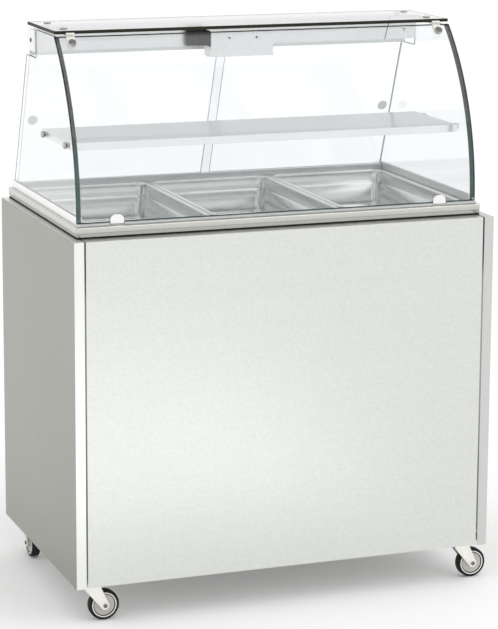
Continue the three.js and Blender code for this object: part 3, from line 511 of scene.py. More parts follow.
def lamp_glass(name, tint):
    """Powder-coated lamp tube, a little greyer towards its ends."""
    shader = new_shader(name)
    along = shader.node("ShaderNodeSeparateXYZ", {}, {0: shader.place()}, output="X")
    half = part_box("lamp_tube")[1].x
    end = (along * (1 / half)) ** 2
    powder = shader.noise(CLOUDY, 160, 3)
    sockets = {
        "Base Color": shader.blend(end ** 6, tint, toned(tint, 0.55)),
        "Roughness": 0.16 + powder * 0.1,
        "Coat Weight": 0.6,
        "Emission Color": (*tint, 1),
        "Emission Strength": 0.25,
    }
    return shader.principled(sockets)


def floor_finish(name, tint):
    """Plain pale floor."""
    shader = new_shader(name)
    cloud = shader.noise(CLOUDY, 0.6, 2)
    sockets = {
        "Base Color": shader.blend(cloud, toned(tint, 0.99), toned(tint, 1.01)),
        "Roughness": 0.85,
        "Specular IOR Level": 0.1,
        "Emission Color": (*tint, 1),
        "Emission Strength": 0.07,
    }
    return shader.principled(sockets)


def fascia_levels():
    """Heights of the lower edge and the top of the frame round the well."""
    low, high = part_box("top_frame")
    return low.z + FOOT, high.z


def finish_makers():
    """Each finish by name, made when a piece first asks for it."""
    s = bpy.context.scene.steam_finishes
    steel, shelf, rough = tuple(s.steel), tuple(s.shelf_steel), s.brushed_roughness
    return {
        "steel_along": lambda n: brushed(n, steel, "x", rough),
        # Painted light: the side faces take the dark painted-shade tint; the left panel's other faces are
        # painted lighter as highlight, the right panel's darker as shade.
        "steel_side_left": lambda n: brushed(n, tuple(s.painted_shade_side_steel), "z", rough, ends=toned(steel, 1.12)),
        "steel_side_right": lambda n: brushed(n, tuple(s.painted_shade_side_steel), "z", rough, ends=toned(steel, 0.84)),
        # The top frame's fascia is painted darker towards its foot as shade.
        "steel_frame": lambda n: brushed(n, tuple(s.frame_steel), "x", rough - 0.06, foot=fascia_levels()),
        # Lit and shaded copies: the shelf's folds keep the bright tint, its top faces are painted at 0.62 of
        # it as shade.
        "shelf_steel": lambda n: bright(n, shelf, s.bright_roughness, toned(shelf, 0.62)),
        "aluminium": lambda n: brushed(n, tuple(s.track), "x", 0.40, 0.3),
        "silicone": lambda n: moulded(n, tuple(s.silicone), 0.35, 0.02),
        "hub_ring": lambda n: moulded(n, tuple(s.hub_ring), 0.40),
        "winding": lambda n: moulded(n, tuple(s.winding), 0.5),
        "steel_inside": lambda n: brushed(n, toned(steel, 0.9), "x", rough + 0.06),
        "bright_steel": lambda n: bright(n, tuple(s.bright_steel), s.bright_roughness),
        "hinge_zinc": lambda n: plated(n, toned(tuple(s.zinc), 0.84)),
        "satin_metal": lambda n: brushed(n, tuple(s.satin), "x", 0.42, 0.3),
        "zinc": lambda n: plated(n, tuple(s.zinc)),
        "pane": lambda n: pane_face(n, tuple(s.glass)),
        "pane_edge": lambda n: pane_edge(n, tuple(s.edge_painted_shade), tuple(s.edge_teal)),
        "pane_rim": lambda n: moulded(n, tuple(s.pane_rim), 0.3, 0.01),
        "rubber": lambda n: rubber(n, tuple(s.rubber)),
        "castor_bolt": lambda n: plated(n, toned(tuple(s.zinc), 0.22)),
        "hub_plastic": lambda n: moulded(n, tuple(s.hub), 0.42),
        "black_plastic": lambda n: moulded(n, tuple(s.black), 0.38),
        "red_plastic": lambda n: moulded(n, tuple(s.red), 0.26, 0.01, 0.3),
        "brass": lambda n: cast_brass(n, tuple(s.brass)),
        "lamp_glass": lambda n: lamp_glass(n, tuple(s.lamp)),
        "pilot_red": lambda n: moulded(n, tuple(s.pilot), 0.12, 0.005, 0.8),
        "white_plastic": lambda n: moulded(n, tuple(s.ivory), 0.4),
        # Painted light: the door pulls glow though they are no lamp.
        "milky_plastic": lambda n: moulded(n, tuple(s.milky), 0.4, glow=0.22),
        "stud_zinc": lambda n: plated(n, toned(tuple(s.zinc), 0.62)),
    }


def finish(name):
    return bpy.data.materials.get(name) or finish_makers()[name](name)


# ---------------------------------------------------------------- forms

TURNS = {
    "x": Matrix(((0, 0, 1, 0), (1, 0, 0, 0), (0, 1, 0, 0), (0, 0, 0, 1))),
    "y": Matrix(((1, 0, 0, 0), (0, 0, 1, 0), (0, 1, 0, 0), (0, 0, 0, 1))),
    "z": Matrix.Identity(4),
}
FLIP = Matrix.Scale(-1, 4, (0, 0, 1))


def at(place, axis="z"):
    """Matrix that puts a form made along local Z at a place, along an axis or a direction."""
    if isinstance(axis, str):
        turn = TURNS[axis[-1]]
        if axis[0] == "-":
            turn = turn @ FLIP
    else:
        turn = Vector(axis).to_track_quat("Z", "Y").to_matrix().to_4x4()
    return Matrix.Translation(Vector(place)) @ turn


def arc(centre, radius, start, end, steps):
    """Points of an arc in a plane, its angles in degrees."""
    turns = [math.radians(start + (end - start) * i / steps) for i in range(steps + 1)]
    return [(centre[0] + radius * math.cos(t), centre[1] + radius * math.sin(t)) for t in turns]


def mm(*given):
    """Pairs or triples of millimetres, in metres."""
    return [tuple(value * MM for value in values) for values in given]


def rounded(width, height, corner, steps=6, centre=(0, 0)):
    """Outline of a rectangle with round corners."""
    points = []
    for i, (sx, sy) in enumerate(((1, 1), (-1, 1), (-1, -1), (1, -1))):
        middle = (centre[0] + sx * (width / 2 - corner), centre[1] + sy * (height / 2 - corner))
        points += arc(middle, corner, 90 * i, 90 * i + 90, steps)
    return points


def fluted(radius, depth, flutes, steps, sharp=None):
    """Outline of a knob with grooves round it; sharp narrows the grooves."""
    count = flutes * steps
    points = []
    for i in range(count):
        turn = 2 * math.pi * i / count
        crest = math.cos(flutes * turn)
        dip = (1 - crest) if sharp is None else (0.5 + 0.5 * crest) ** sharp
        wave = radius - depth * dip
        points.append((wave * math.cos(turn), wave * math.sin(turn)))
    return points


def mirrored(side, crown=()):
    """A profile of (radius, height) closed by its mirror image below height zero."""
    return [*side, *crown, *[(r, -y) for r, y in reversed(side)]]


class Form:
    """A mesh being built, in metres in the part's frame."""

    def __init__(self):
        self.mesh = bmesh.new()

    def face(self, corners, kind):
        if len(set(corners)) < 3:
            return
        try:
            made = self.mesh.faces.new(corners)
        except ValueError:
            return
        made.material_index = kind
        made.smooth = True

    def points(self, places, matrix):
        return [self.mesh.verts.new(matrix @ Vector(p)) for p in places]

    def skin(self, rings, matrix=TURNS["z"], kind=0, ends=True, closed=False):
        """Faces between rings of points; the first and last are filled, or joined to each other."""
        made = [self.points(ring, matrix) for ring in rings]
        pairs = list(zip(made, made[1:]))
        if closed:
            pairs.append((made[-1], made[0]))
        for a, b in pairs:
            count = len(a)
            for i in range(count):
                j = (i + 1) % count
                self.face((a[i], a[j], b[j], b[i]), kind)
        if ends and not closed:
            self.face(made[0][::-1], kind)
            self.face(made[-1], kind)
        return self

    def extrude(self, outline, low, high, matrix=TURNS["z"], holes=(), kind=0, walls=None):
        """An outline carried from low to high, its caps of one kind and its walls of another."""
        loops = [outline, *holes]
        lower, upper = [], []
        for loop in loops:
            a = self.points([(u, v, low) for u, v in loop], matrix)
            b = self.points([(u, v, high) for u, v in loop], matrix)
            for i in range(len(a)):
                j = (i + 1) % len(a)
                wall = kind if walls is None else walls(i) if callable(walls) else walls
                self.face((a[i], a[j], b[j], b[i]), wall)
            lower += a
            upper += b
        if holes:
            flat = [[Vector((u, v, 0)) for u, v in loop] for loop in loops]
            for triangle in tessellate_polygon(flat):
                self.face([lower[i] for i in triangle], kind)
                self.face([upper[i] for i in triangle], kind)
        else:
            self.face(lower[::-1], kind)
            self.face(upper, kind)
        return self

    def lathe(self, profile, matrix=TURNS["z"], steps=40, kind=0, closed=False):
        """A profile of (radius, height) turned about local Z; a point on the axis closes an end.

        The kind may be a list with one entry for each stretch of the profile.
        """
        rings = []
        for radius, height in profile:
            turns = [2 * math.pi * i / steps for i in range(steps)] if radius > 0 else [0]
            places = [(radius * math.cos(t), radius * math.sin(t), height) for t in turns]
            rings.append(self.points(places, matrix))
        pairs = list(zip(rings, rings[1:]))
        if closed:
            pairs.append((rings[-1], rings[0]))
        kinds = kind if isinstance(kind, list) else [kind] * len(pairs)
        for (a, b), tone in zip(pairs, kinds):
            for i in range(max(len(a), len(b))):
                j = i + 1
                corners = [a[i % len(a)], a[j % len(a)], b[j % len(b)], b[i % len(b)]]
                self.face(list(dict.fromkeys(corners)), tone)
        return self

    def block(self, low, high, kind=0, matrix=TURNS["z"]):
        (x0, y0, z0), (x1, y1, z1) = low, high
        return self.extrude([(x0, y0), (x1, y0), (x1, y1), (x0, y1)], z0, z1, matrix, kind=kind)

    def screw(self, place, axis, radius, height, head=0, slot=1):
        """A domed head with a cross slot."""
        matrix = at(place, axis)
        dome = ((0, 1), (0.45, 0.96), (0.8, 0.72), (1, 0.2), (1, 0), (0, 0))
        self.lathe([(radius * r, height * z) for r, z in dome], matrix, 24, head)
        reach, half = radius * 0.6, radius * 0.11
        for a, b in ((reach, half), (half, reach)):
            self.block((-a, -b, height * 0.5), (a, b, height * 1.02), slot, matrix)
        return self

    def nut(self, place, axis, half, height, kind=0):
        """A six-sided nut with turned corners."""
        matrix = at(place, axis)
        reach = half / math.cos(math.pi / 6)
        ring = [(reach * math.cos(math.pi * i / 3), reach * math.sin(math.pi * i / 3)) for i in range(6)]
        rings = [[(x * k, y * k, z) for x, y in ring] for k, z in ((1, 0), (1, height * 0.8), (0.9, height))]
        return self.skin(rings, matrix, kind)

    def piece(self, name, body, finishes, slot, replaces=(), bevel=0.3 * MM, segments=2, crease=32):
        """Turns the form into an object that rides on a body."""
        bmesh.ops.recalc_face_normals(self.mesh, faces=self.mesh.faces)
        data = bpy.data.meshes.new(name)
        self.mesh.to_mesh(data)
        self.mesh.free()
        data.set_sharp_from_angle(angle=math.radians(crease))
        thing = bpy.data.objects.new(name, data)
        bpy.context.scene.collection.objects.link(thing)
        for finish_name in finishes:
            data.materials.append(finish(finish_name))
        if bevel:
            soften(thing, bevel, segments, crease)
        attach(thing, body)
        if replaces:
            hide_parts(*replaces)
        return thing


def soften(thing, width, segments=2, crease=32):
    """Takes the sharpness off the edges of a piece."""
    edges = thing.modifiers.new("edges", "BEVEL")
    edges.width = width
    edges.segments = segments
    edges.limit_method = "ANGLE"
    edges.angle_limit = math.radians(crease)
    edges.use_clamp_overlap = True
    edges.harden_normals = True
    return edges


def dress(node, finish_name, bevel=0.4 * MM, segments=2):
    """Gives a carried-over node its finish and soft edges."""
    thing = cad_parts[node]
    if not thing.data.materials:
        thing.data.materials.append(None)
    for used in thing.material_slots:
        used.material = finish(finish_name)
    weld = thing.modifiers.new("weld", "WELD")
    weld.merge_threshold = 0.005 * MM
    soften(thing, bevel, segments).harden_normals = False
    return thing


def middle(node):
    low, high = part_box(node)
    return (low + high) / 2


# ---------------------------------------------------------------- cabinet


def make_cabinet():
    for side, _ in SIDES:
        dress(side + "_side_panel", "steel_side_" + side, 0.6 * MM, 3)
    dress("front_panel", "steel_along", 0.6 * MM, 3)
    dress("base_shelf", "steel_inside", 0.5 * MM)
    dress("control_panel", "steel_along", 0.5 * MM)
    make_top_frame()
    make_panel_screws()


def make_top_frame():
    """Pressed frame: deck with the well's opening, round-edged fascia with a groove and a rolled foot."""
    low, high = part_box("top_frame")
    pan_low, pan_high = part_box("food_pan_left")[0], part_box("food_pan_right")[1]
    spare = (0.5 * MM - bpy.context.scene.steam_pans.rim) * 2  # the opening past the row of rims
    middles = {"well": (pan_low + pan_high) / 2, "deck": (low + high) / 2}
    sizes = {
        "well": (pan_high.x - pan_low.x + spare, pan_high.y - pan_low.y + spare),
        "deck": (high.x - low.x, high.y - low.y),
    }
    levels = {"deck": high.z, "foot": low.z + FOOT}

    def loop(name, grow, z, corner):
        width, breadth = (size + 2 * grow for size in sizes[name])
        return [(x, y, z) for x, y in rounded(width, breadth, corner, 8, middles[name].xy)]

    corners = {"well": 22 * MM, "deck": 8 * MM}
    rings = []
    for name, grow, level, rise in FRAME_SECTION:
        rings.append(loop(name, grow * MM, levels[level] + rise * MM, corners[name] + grow * MM))
    form = Form().skin(rings, closed=True)
    form.piece("top_frame_pressed", "cabinet", ["steel_frame"], "brushed", ["top_frame"], bevel=0, crease=50)

    # A black rubber ring fills the gap under the fascia; its black also stands for the shadow in that gap,
    # painted shadow.
    top, bottom = levels["foot"] - 0.2 * MM, low.z - 0.6 * MM
    outside, inside = -1.2 * MM, -5 * MM
    corner = 7 * MM
    bands = [(outside, top), (outside, bottom), (inside, bottom), (inside, top)]
    gasket = Form().skin([loop("deck", grow, z, corner) for grow, z in bands], closed=True)
    gasket.piece("frame_gasket_and_shadow", "cabinet", ["rubber"], "seal", bevel=0)


def make_panel_screws():
    """Screws through the wings of the control panel and the folds of the side panels."""
    low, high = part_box("control_panel")
    from_end, from_edge = 14 * MM, 24 * MM
    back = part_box("left_side_panel")[1].y
    form = Form()
    for x in (low.x + from_end, high.x - from_end):
        for z in (low.z + from_edge, high.z - from_edge):
            form.screw((x, back, z), "y", 4 * MM, 1.8 * MM)
    form.piece("control_panel_screws", "cabinet", ["zinc", "black_plastic"], "plated", bevel=0)


# ---------------------------------------------------------------- pans and well


def pan_profile(s, deep):
    """(grow, z) pairs of a pan's section from the bottom's outside, over the rim, to its inside."""
    bend = s.bottom
    under = -s.lip

    def bowl(inset, lift, steps):
        wall = s.draft + inset
        points = [(-wall - bend + bend * math.sin(t), -deep + lift + bend - bend * math.cos(t))
                  for t in (math.radians(90 * i / steps) for i in range(steps + 1))]
        step_low = -s.shoulder - s.step
        points.append((-s.step - 1 * MM - inset, step_low))
        points += [(-s.step * (1 - i / 3) - inset, step_low + s.step * i / 3 + 0.6 * MM) for i in range(1, 4)]
        points.append((-inset, under - 2.5 * MM))
        return points

    outside = bowl(0, 0, 7)
    inside = bowl(s.wall, s.wall, 7)
    over = [
        (0, -1.9 * MM),
        (1.2 * MM, -1.1 * MM),
        (s.rim - 2.4 * MM, -1.1 * MM),
        (s.rim - 1.3 * MM, -1.6 * MM),
        (s.rim - 1.1 * MM, under),
        (s.rim - 0.2 * MM, under),
        (s.rim, under + 1.0 * MM),
        (s.rim - 0.4 * MM, -0.8 * MM),
        (s.rim - 1.4 * MM, -0.15 * MM),
        (s.rim - 2.6 * MM, 0),
        (1.6 * MM, 0),
        (0.3 * MM, -0.35 * MM),
        (-0.6 * MM, -1.4 * MM),
    ]
    return outside, over, inside[::-1]


def make_pans():
    s = bpy.context.scene.steam_pans
    for side in ("left", "middle", "right"):
        node = "food_pan_" + side
        low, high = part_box(node)
        mouth_x = high.x - low.x - 2 * s.rim
        mouth_y = high.y - low.y - 2 * s.rim
        centre = (low + high) / 2
        rings = []
        for section in pan_profile(s, high.z - low.z):
            for grow, z in section:
                corner = max(s.corner + grow * (1 if grow > 0 else 0.45), 8 * MM)
                ring = rounded(mouth_x + 2 * grow, mouth_y + 2 * grow, corner, 9, centre.xy)
                rings.append([(x, y, high.z + z) for x, y in ring])
        form = Form().skin(rings)
        form.piece(node + "_pressed", "pan_" + side, ["bright_steel"], "polished", [node], bevel=0, crease=50)
    make_cross_bars(s)


def make_cross_bars(s):
    """Folded bars that close the gaps under the rims of neighbouring pans."""
    low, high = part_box("food_pan_left")
    sheet, drop, clear = 1.2 * MM, 12 * MM, 1 * MM
    top = high.z - s.lip - 0.5 * MM
    y0, y1 = low.y + s.rim + clear, high.y - s.rim - clear
    half = s.bar / 2
    channel = [
        (-half, -drop),
        (-half + sheet, -drop),
        (-half + sheet, -sheet),
        (half - sheet, -sheet),
        (half - sheet, -drop),
        (half, -drop),
        (half, 0),
        (-half, 0),
    ]
    for first, second in (("left", "middle"), ("middle", "right")):
        x = (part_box("food_pan_" + first)[1].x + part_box("food_pan_" + second)[0].x) / 2
        outline = [(x + across, top + rise) for across, rise in channel]
        form = Form().extrude(outline, y0, y1, TURNS["y"])
        form.piece(f"cross_bar_{first}_{second}", "cabinet", ["bright_steel"], "polished")


def make_well():
    dress("well_tank", "steel_inside")
    smooth_node("heater_element", "zinc")
    smooth_node("drain_valve", "brass", 0.6 * MM)
    smooth_node("drain_lever", "red_plastic", 0.8 * MM)


def smooth_node(node, finish_name, bevel=0.3 * MM):
    """As dress, for a node with round stretches."""
    thing = dress(node, finish_name, bevel)
    thing.data.polygons.foreach_set("use_smooth", [True] * len(thing.data.polygons))
    even = thing.modifiers.new("even", "WEIGHTED_NORMAL")
    even.keep_sharp = True
    return thing


# ---------------------------------------------------------------- glass


def as_pane(thing):
    """Light passes a pane without a shadow."""
    thing.visible_shadow = False
    chamfer = thing.modifiers["edges"]
    chamfer.material = 1
    return thing


def make_curved_pane(s):
    low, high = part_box("front_glass")
    bend_z = low.z + s.upright
    centre = (low.y + s.radius, bend_z)
    top = 180 - math.degrees(math.asin((high.z - bend_z) / s.radius))
    steps = 64
    outer = arc(centre, s.radius, 180, top, steps)
    inner = arc(centre, s.radius - s.thickness, 180, top, steps)
    outline = [(low.y + s.thickness, low.z), (low.y, low.z), *outer, *inner[::-1]]
    rims = {0, len(outer) + 1}
    form = Form().extrude(outline, low.x, high.x, TURNS["x"], kind=1, walls=lambda i: 1 if i in rims else 0)
    finishes = ["pane", "pane_edge"]
    as_pane(form.piece("curved_pane", "curved_glass", finishes, "glass", ["front_glass"], s.chamfer, 3))
    # Painted shade: dark strips just inside the curved pane's ends stand for the dark look of those ends.
    near = s.radius - s.thickness - 0.05 * MM
    far = near - 0.5 * MM
    end = top - 0.4  # degrees: the strips stop a little short of the pane's top edge
    band = [*arc(centre, near, 180, end, steps), *arc(centre, far, 180, end, steps)[::-1]]
    for side, sign in SIDES:
        edge = low.x if sign < 0 else high.x
        a, b = sorted((edge - sign * s.strip_inset, edge - sign * s.strip))
        strip = Form().extrude(band, a, b, TURNS["x"])
        strip.piece(f"edge_strip_{side}", "curved_glass", ["pane_edge"], "seal", bevel=0)


def flat_pane(node, body, chamfer, edge="pane_edge"):
    """A flat pane from its node: the two broad faces clear, the rest ground edge."""
    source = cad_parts[node].data
    form = Form()
    form.mesh.from_mesh(source)
    bmesh.ops.remove_doubles(form.mesh, verts=form.mesh.verts, dist=0.005 * MM)
    edges = [e for e in form.mesh.edges if e.is_manifold and e.calc_face_angle(0) < math.radians(0.5)]
    bmesh.ops.dissolve_edges(form.mesh, edges=edges, use_verts=False)
    broad = max(form.mesh.faces, key=lambda f: f.calc_area())
    normal = broad.normal.copy()
    for f in form.mesh.faces:
        f.material_index = 0 if abs(f.normal.dot(normal)) > 0.99 else 1
        f.smooth = False
    pane = form.piece(node + "_pane", body, ["pane", edge], "glass", [node], chamfer, 3)
    as_pane(pane)
    return normal


def make_glass():
    s = bpy.context.scene.steam_glass
    make_curved_pane(s)
    flat_pane("top_glass", "cabinet", s.chamfer)
    for side, sign in SIDES:
        flat_pane(side + "_side_glass", "cabinet", s.chamfer)
        normal = flat_pane("rear_door_" + side, "door_" + side, s.door_chamfer, "pane_rim")
        make_door_pull(side, sign, normal, s)


def make_door_pull(side, sign, normal, s):
    """A round recessed pull near a door's outer edge, on its outside face."""
    low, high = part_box("rear_door_" + side)
    thickness = 5 * MM
    out = normal if normal.y > 0 else -normal
    up = Vector((1, 0, 0)).cross(out)
    corner = Vector(((low.x if sign < 0 else high.x) - sign * s.pull_in, high.y, low.z))
    place = corner + up * s.pull_high + out * thickness * out.z**2
    ring = [
        (0, 0.3 * MM),
        (s.pull * 0.72, 0.3 * MM),
        (s.pull * 0.78, 1.5 * MM),
        (s.pull * 0.92, 1.7 * MM),
        (s.pull, 0.9 * MM),
        (s.pull, 0.02 * MM),
        (0, 0.02 * MM),
    ]
    form = Form().lathe(ring, at(place, out), 48)
    form.piece(f"door_pull_{side}", "door_" + side, ["milky_plastic"], "satin", bevel=0)


# ---------------------------------------------------------------- fittings of the glass


def glass_top_frame(x):
    """Matrix of a frame at the curved pane's top edge: local Z out of the pane, local Y up it."""
    s = bpy.context.scene.steam_glass
    low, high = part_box("front_glass")
    rise = math.asin((high.z - low.z - s.upright) / s.radius)
    out = Vector((0, -math.cos(rise), math.sin(rise)))
    up = Vector((0, math.sin(rise), math.cos(rise)))
    place = Vector((x, low.y + s.radius * (1 - math.cos(rise)), high.z))
    columns = Matrix((Vector((1, 0, 0)), up, out)).transposed().to_4x4()
    return Matrix.Translation(place) @ columns


def make_hinges():
    cap = mm((0, 1.4), (6, 1.3), (8.4, 0.9), (9.4, 0.05), (0, 0.05))
    slot = mm((-6.5, -0.8, 0.9), (6.5, 0.8, 1.5))
    below_edge, above_face = -25 * MM, 7.5 * MM
    for side, _ in SIDES:
        dress(side + "_hinge_bracket", "hinge_zinc", 0.3 * MM)
        dress(side + "_hinge_clamp", "hinge_zinc", 0.5 * MM)
        matrix = glass_top_frame(middle(side + "_hinge_clamp").x)
        matrix = matrix @ Matrix.Translation((0, below_edge, above_face))
        form = Form().lathe(cap, matrix, 36).block(*slot, 1, matrix)
        finishes = ["castor_bolt", "black_plastic"]
        form.piece(f"{side}_clamp_screw", "curved_glass", finishes, "plated", bevel=0)


def make_grips():
    """D-shaped lifting grips on the foot of the curved pane."""
    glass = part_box("front_glass")[0]
    glass_back = glass.y + bpy.context.scene.steam_glass.thickness
    corner, gap, overlap, heel = 13 * MM, 0.2 * MM, 2 * MM, 9 * MM
    for side, _ in SIDES:
        node = side + "_glass_grip"
        low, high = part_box(node)
        a, b = low.x + corner, high.x - corner
        face = [
            (low.x, low.z),
            (high.x, low.z),
            *arc((b, high.z - corner), corner, 0, 90, 12),
            *arc((a, high.z - corner), corner, 90, 180, 12),
        ]
        form = Form()
        form.extrude(face, low.y, glass.y - gap, TURNS["y"])
        form.block((low.x, glass.y - overlap, low.z), (high.x, high.y, glass.z - 0.3 * MM))
        form.block((low.x, glass_back + gap, low.z), (high.x, high.y, low.z + heel))
        form.piece(node + "_moulded", "curved_glass", ["satin_metal"], "satin", [node], 1.0 * MM, 4)


def make_top_screws():
    """Screws that hold the top pane down on its brackets and on the lamp beam."""
    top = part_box("top_glass")[1].z
    beam_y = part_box("lamp_beam")[1].y - 58 * MM
    washer = mm((5, 0), (9, 0), (9, 0.8), (5, 0.8))
    form = Form()
    for side, _ in SIDES:
        bracket = middle(side + "_hinge_bracket")
        for y in (beam_y, bracket.y + 14 * MM):
            form.lathe(washer, at((bracket.x, y, top)), 32, 2, closed=True)
            form.screw((bracket.x, y, top + 0.2 * MM), "z", 6.5 * MM, 2.6 * MM)
    finishes = ["hinge_zinc", "black_plastic", "rubber"]
    form.piece("top_glass_screws", "cabinet", finishes, "plated", bevel=0)


def make_fittings():
    make_hinges()
    make_grips()
    make_top_screws()
    for side, _ in SIDES:
        dress(side + "_glass_channel", "satin_metal", 0.5 * MM)
    dress("front_seal", "silicone", 0.8 * MM, 3)
    dress("lower_door_track", "aluminium", 0.5 * MM)
    dress("upper_door_track", "aluminium", 0.5 * MM)


# ---------------------------------------------------------------- display shelf


def make_shelf():
    dress("display_shelf", "shelf_steel", 0.6 * MM, 3)
    for side, sign in SIDES:
        for end in ("front", "back"):
            make_stud(f"shelf_stud_{side}_{end}", side, sign)


def make_stud(node, side, sign):
    """A fluted head outside a side pane, with a shank that reaches in to the shelf."""
    low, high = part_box(node)
    radius = (high.z - low.z) / 2
    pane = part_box(side + "_side_glass")[1 if sign > 0 else 0].x
    outer, inner = (high.x, low.x) if sign > 0 else (low.x, high.x)
    matrix = Matrix.Translation((0, middle(node).y, middle(node).z)) @ TURNS["x"]
    ring = fluted(radius, 0.035 * radius, 20, 4)
    span = outer - pane
    levels = ((0.08, 0.86), (0.2, 1.0), (0.8, 1.0), (0.94, 0.9), (1.0, 0.7))
    form = Form()
    form.skin([[(u * grow, v * grow, pane + span * k) for u, v in ring] for k, grow in levels], matrix)
    shank, neck = radius / 2, pane + span * 0.1
    tip = [(0, inner), (shank - 0.5 * MM, inner), (shank, inner + sign * 0.6 * MM)]
    form.lathe([*tip, (shank, neck), (0, neck)], matrix, 24)
    near, far = pane + sign * 0.02 * MM, pane + sign * 0.4 * MM
    form.lathe([(0, near), (radius, near), (radius, far), (0, far)], matrix, 32, 1)
    form.piece(node + "_turned", "cabinet", ["stud_zinc", "rubber"], "plated", [node], 0.2 * MM)


# ---------------------------------------------------------------- lamp


def make_lamp():
    s = bpy.context.scene.steam_lamp
    dress("lamp_beam", "satin_metal", 0.5 * MM, 3)
    dress("ballast_box", "satin_metal", 0.6 * MM, 3)
    make_lamp_tube(s)
    make_end_cover(s)
    make_ballast_block(s)
    make_box_bracket()


def make_lamp_tube(s):
    _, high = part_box("lamp_tube")
    centre = middle("lamp_tube")
    radius = high.z - centre.z
    pin, pin_radius, pin_apart = 4 * MM, 1 * MM, 3 * MM
    end = high.x - pin
    matrix = Matrix.Translation((0, centre.y, centre.z)) @ TURNS["x"]
    form = Form().lathe([(radius * 0.96, -end + s.cap), (radius * 0.96, end - s.cap)], matrix, 40)
    for _, sign in SIDES:
        neck, tip = sign * (end - s.cap), sign * end
        cap = [
            (radius * 0.9, neck),
            (radius, neck + sign * 0.6 * MM),
            (radius, tip - sign * 1 * MM),
            (radius * 0.85, tip),
            (0, tip),
        ]
        form.lathe(cap, matrix, 40, 1)
        bar = [(0, tip), (pin_radius, tip), (pin_radius, sign * high.x), (0, sign * high.x)]
        for offset in (-pin_apart, pin_apart):
            form.lathe(bar, Matrix.Translation((0, 0, offset)) @ matrix, 12, 2)
    finishes = ["lamp_glass", "satin_metal", "brass"]
    form.piece("lamp_tube_coated", "cabinet", finishes, "lamp", ["lamp_tube"], bevel=0)


def make_end_cover(s):
    """Slant-ended cover with one screw at the beam's right end, and the screws in the beam's two ends."""
    low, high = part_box("lamp_beam")
    box_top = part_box("ballast_box")[1].z
    above, margin, plate, backing, shade = 11 * MM, 0.5 * MM, 3 * MM, 0.6 * MM, 0.9 * MM
    top = box_top + above
    z = (low.z + top) / 2
    left, right = high.x - s.cover, high.x - margin
    bottom, upper = low.z + margin, top - margin
    slant = left + s.cover_slant
    face = [(left, bottom), (right, bottom), (right, upper), (slant, upper)]
    # Painted shadow: a black sheet behind the cover shows past its left and top edges.
    behind = [(left - shade, bottom), (right, bottom), (right, upper + shade), (slant - shade, upper + shade)]
    form = Form()
    form.extrude(face, low.y - plate, low.y - backing, TURNS["y"])
    form.extrude(behind, low.y - backing, low.y - 0.1 * MM, TURNS["y"], kind=1)
    form.screw((high.x - s.cover_screw, low.y - plate, z), "-y", *END_SCREW)
    form.piece("beam_end_cover", "cabinet", ["satin_metal", "black_plastic"], "satin", bevel=0.4 * MM)
    for side, sign in SIDES:
        place = (high.x if sign > 0 else low.x, (low.y + high.y) / 2, z)
        form = Form().screw(place, (sign, 0, 0), *END_SCREW)
        finishes = ["castor_bolt", "black_plastic"]
        form.piece(f"beam_end_screw_{side}", "cabinet", finishes, "plated", bevel=0)


def make_ballast_block(s):
    """Wound ballast beside its box: two stacks of laminations on a black bobbin, and a dark ribbed plate on
    the box's left face, painted shade for that face.
    """
    box_low, box_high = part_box("ballast_box")
    beam_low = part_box("lamp_beam")[0]
    right = box_low.x - 1 * MM
    left = right - s.block
    back = beam_low.y - 0.3 * MM
    front = back - s.block_depth
    z1 = beam_low.z + 43 * MM
    z0 = z1 - s.block_height
    inset, lip, side_in = 2 * MM, 0.2 * MM, 8 * MM
    form = Form()
    form.block((left, front + inset, z0 + inset), (right, back, z1 - inset), 1)
    gap, plates, share_of_pitch = 3 * MM, 11, 0.62
    half = (s.block - gap) / 2
    for start in (left, left + half + gap):
        for i in range(plates):
            x = start + half * i / plates
            form.block((x, front, z0), (x + half / plates * share_of_pitch, front + 4 * MM, z1))
        tray_low = (start - lip, front + 1.2 * MM, z0 - 0.6 * MM)
        form.block(tray_low, (start + half + lip, back, z0 + inset), 1)
    form.block((left + side_in, front + 6 * MM, z1 - inset), (right - side_in, back - inset, z1 + 5 * MM), 1)
    # Painted shade: a black plate with dark ribs covers the box's left face, which stands in shade.
    ribs = 14
    y0, y1 = box_low.y + 4 * MM, min(box_high.y, back) - 18 * MM
    pitch = (y1 - y0) / ribs
    form.block((box_low.x - 1.6 * MM, y0, z0), (box_low.x - 0.1 * MM, y1, z1), 1)
    for i in range(ribs):
        y = y0 + i * pitch
        form.block((box_low.x - 3.4 * MM, y, z0), (box_low.x - 1.4 * MM, y + pitch * 0.6, z1))
    finishes = ["winding", "black_plastic"]
    form.piece("ballast_block", "cabinet", finishes, "black", bevel=0.15 * MM, segments=1)


def make_box_bracket():
    """Tab with a screw below the ballast box's left corner."""
    low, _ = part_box("ballast_box")
    z, sheet = low.z + 7 * MM, 1.5 * MM
    front = low.y + 1 * MM
    outline = rounded(16 * MM, 12 * MM, 3 * MM, 5, (low.x - 5 * MM, z))
    form = Form().extrude(outline, front - sheet, front, TURNS["y"])
    form.screw((low.x - 8 * MM, front - sheet, z), "-y", 3 * MM, 1.6 * MM)
    form.piece("ballast_box_tab", "cabinet", ["zinc", "black_plastic"], "plated", bevel=0.2 * MM)


# ---------------------------------------------------------------- controls


def make_controls():
    s = bpy.context.scene.steam_controls
    make_knob(s)
    make_switches(s)
    make_gland()


def panel_face():
    """Outside face of the control panel, a shaft's length behind the knob's inner end."""
    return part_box("thermostat_knob")[0].y + KNOB_SHAFT


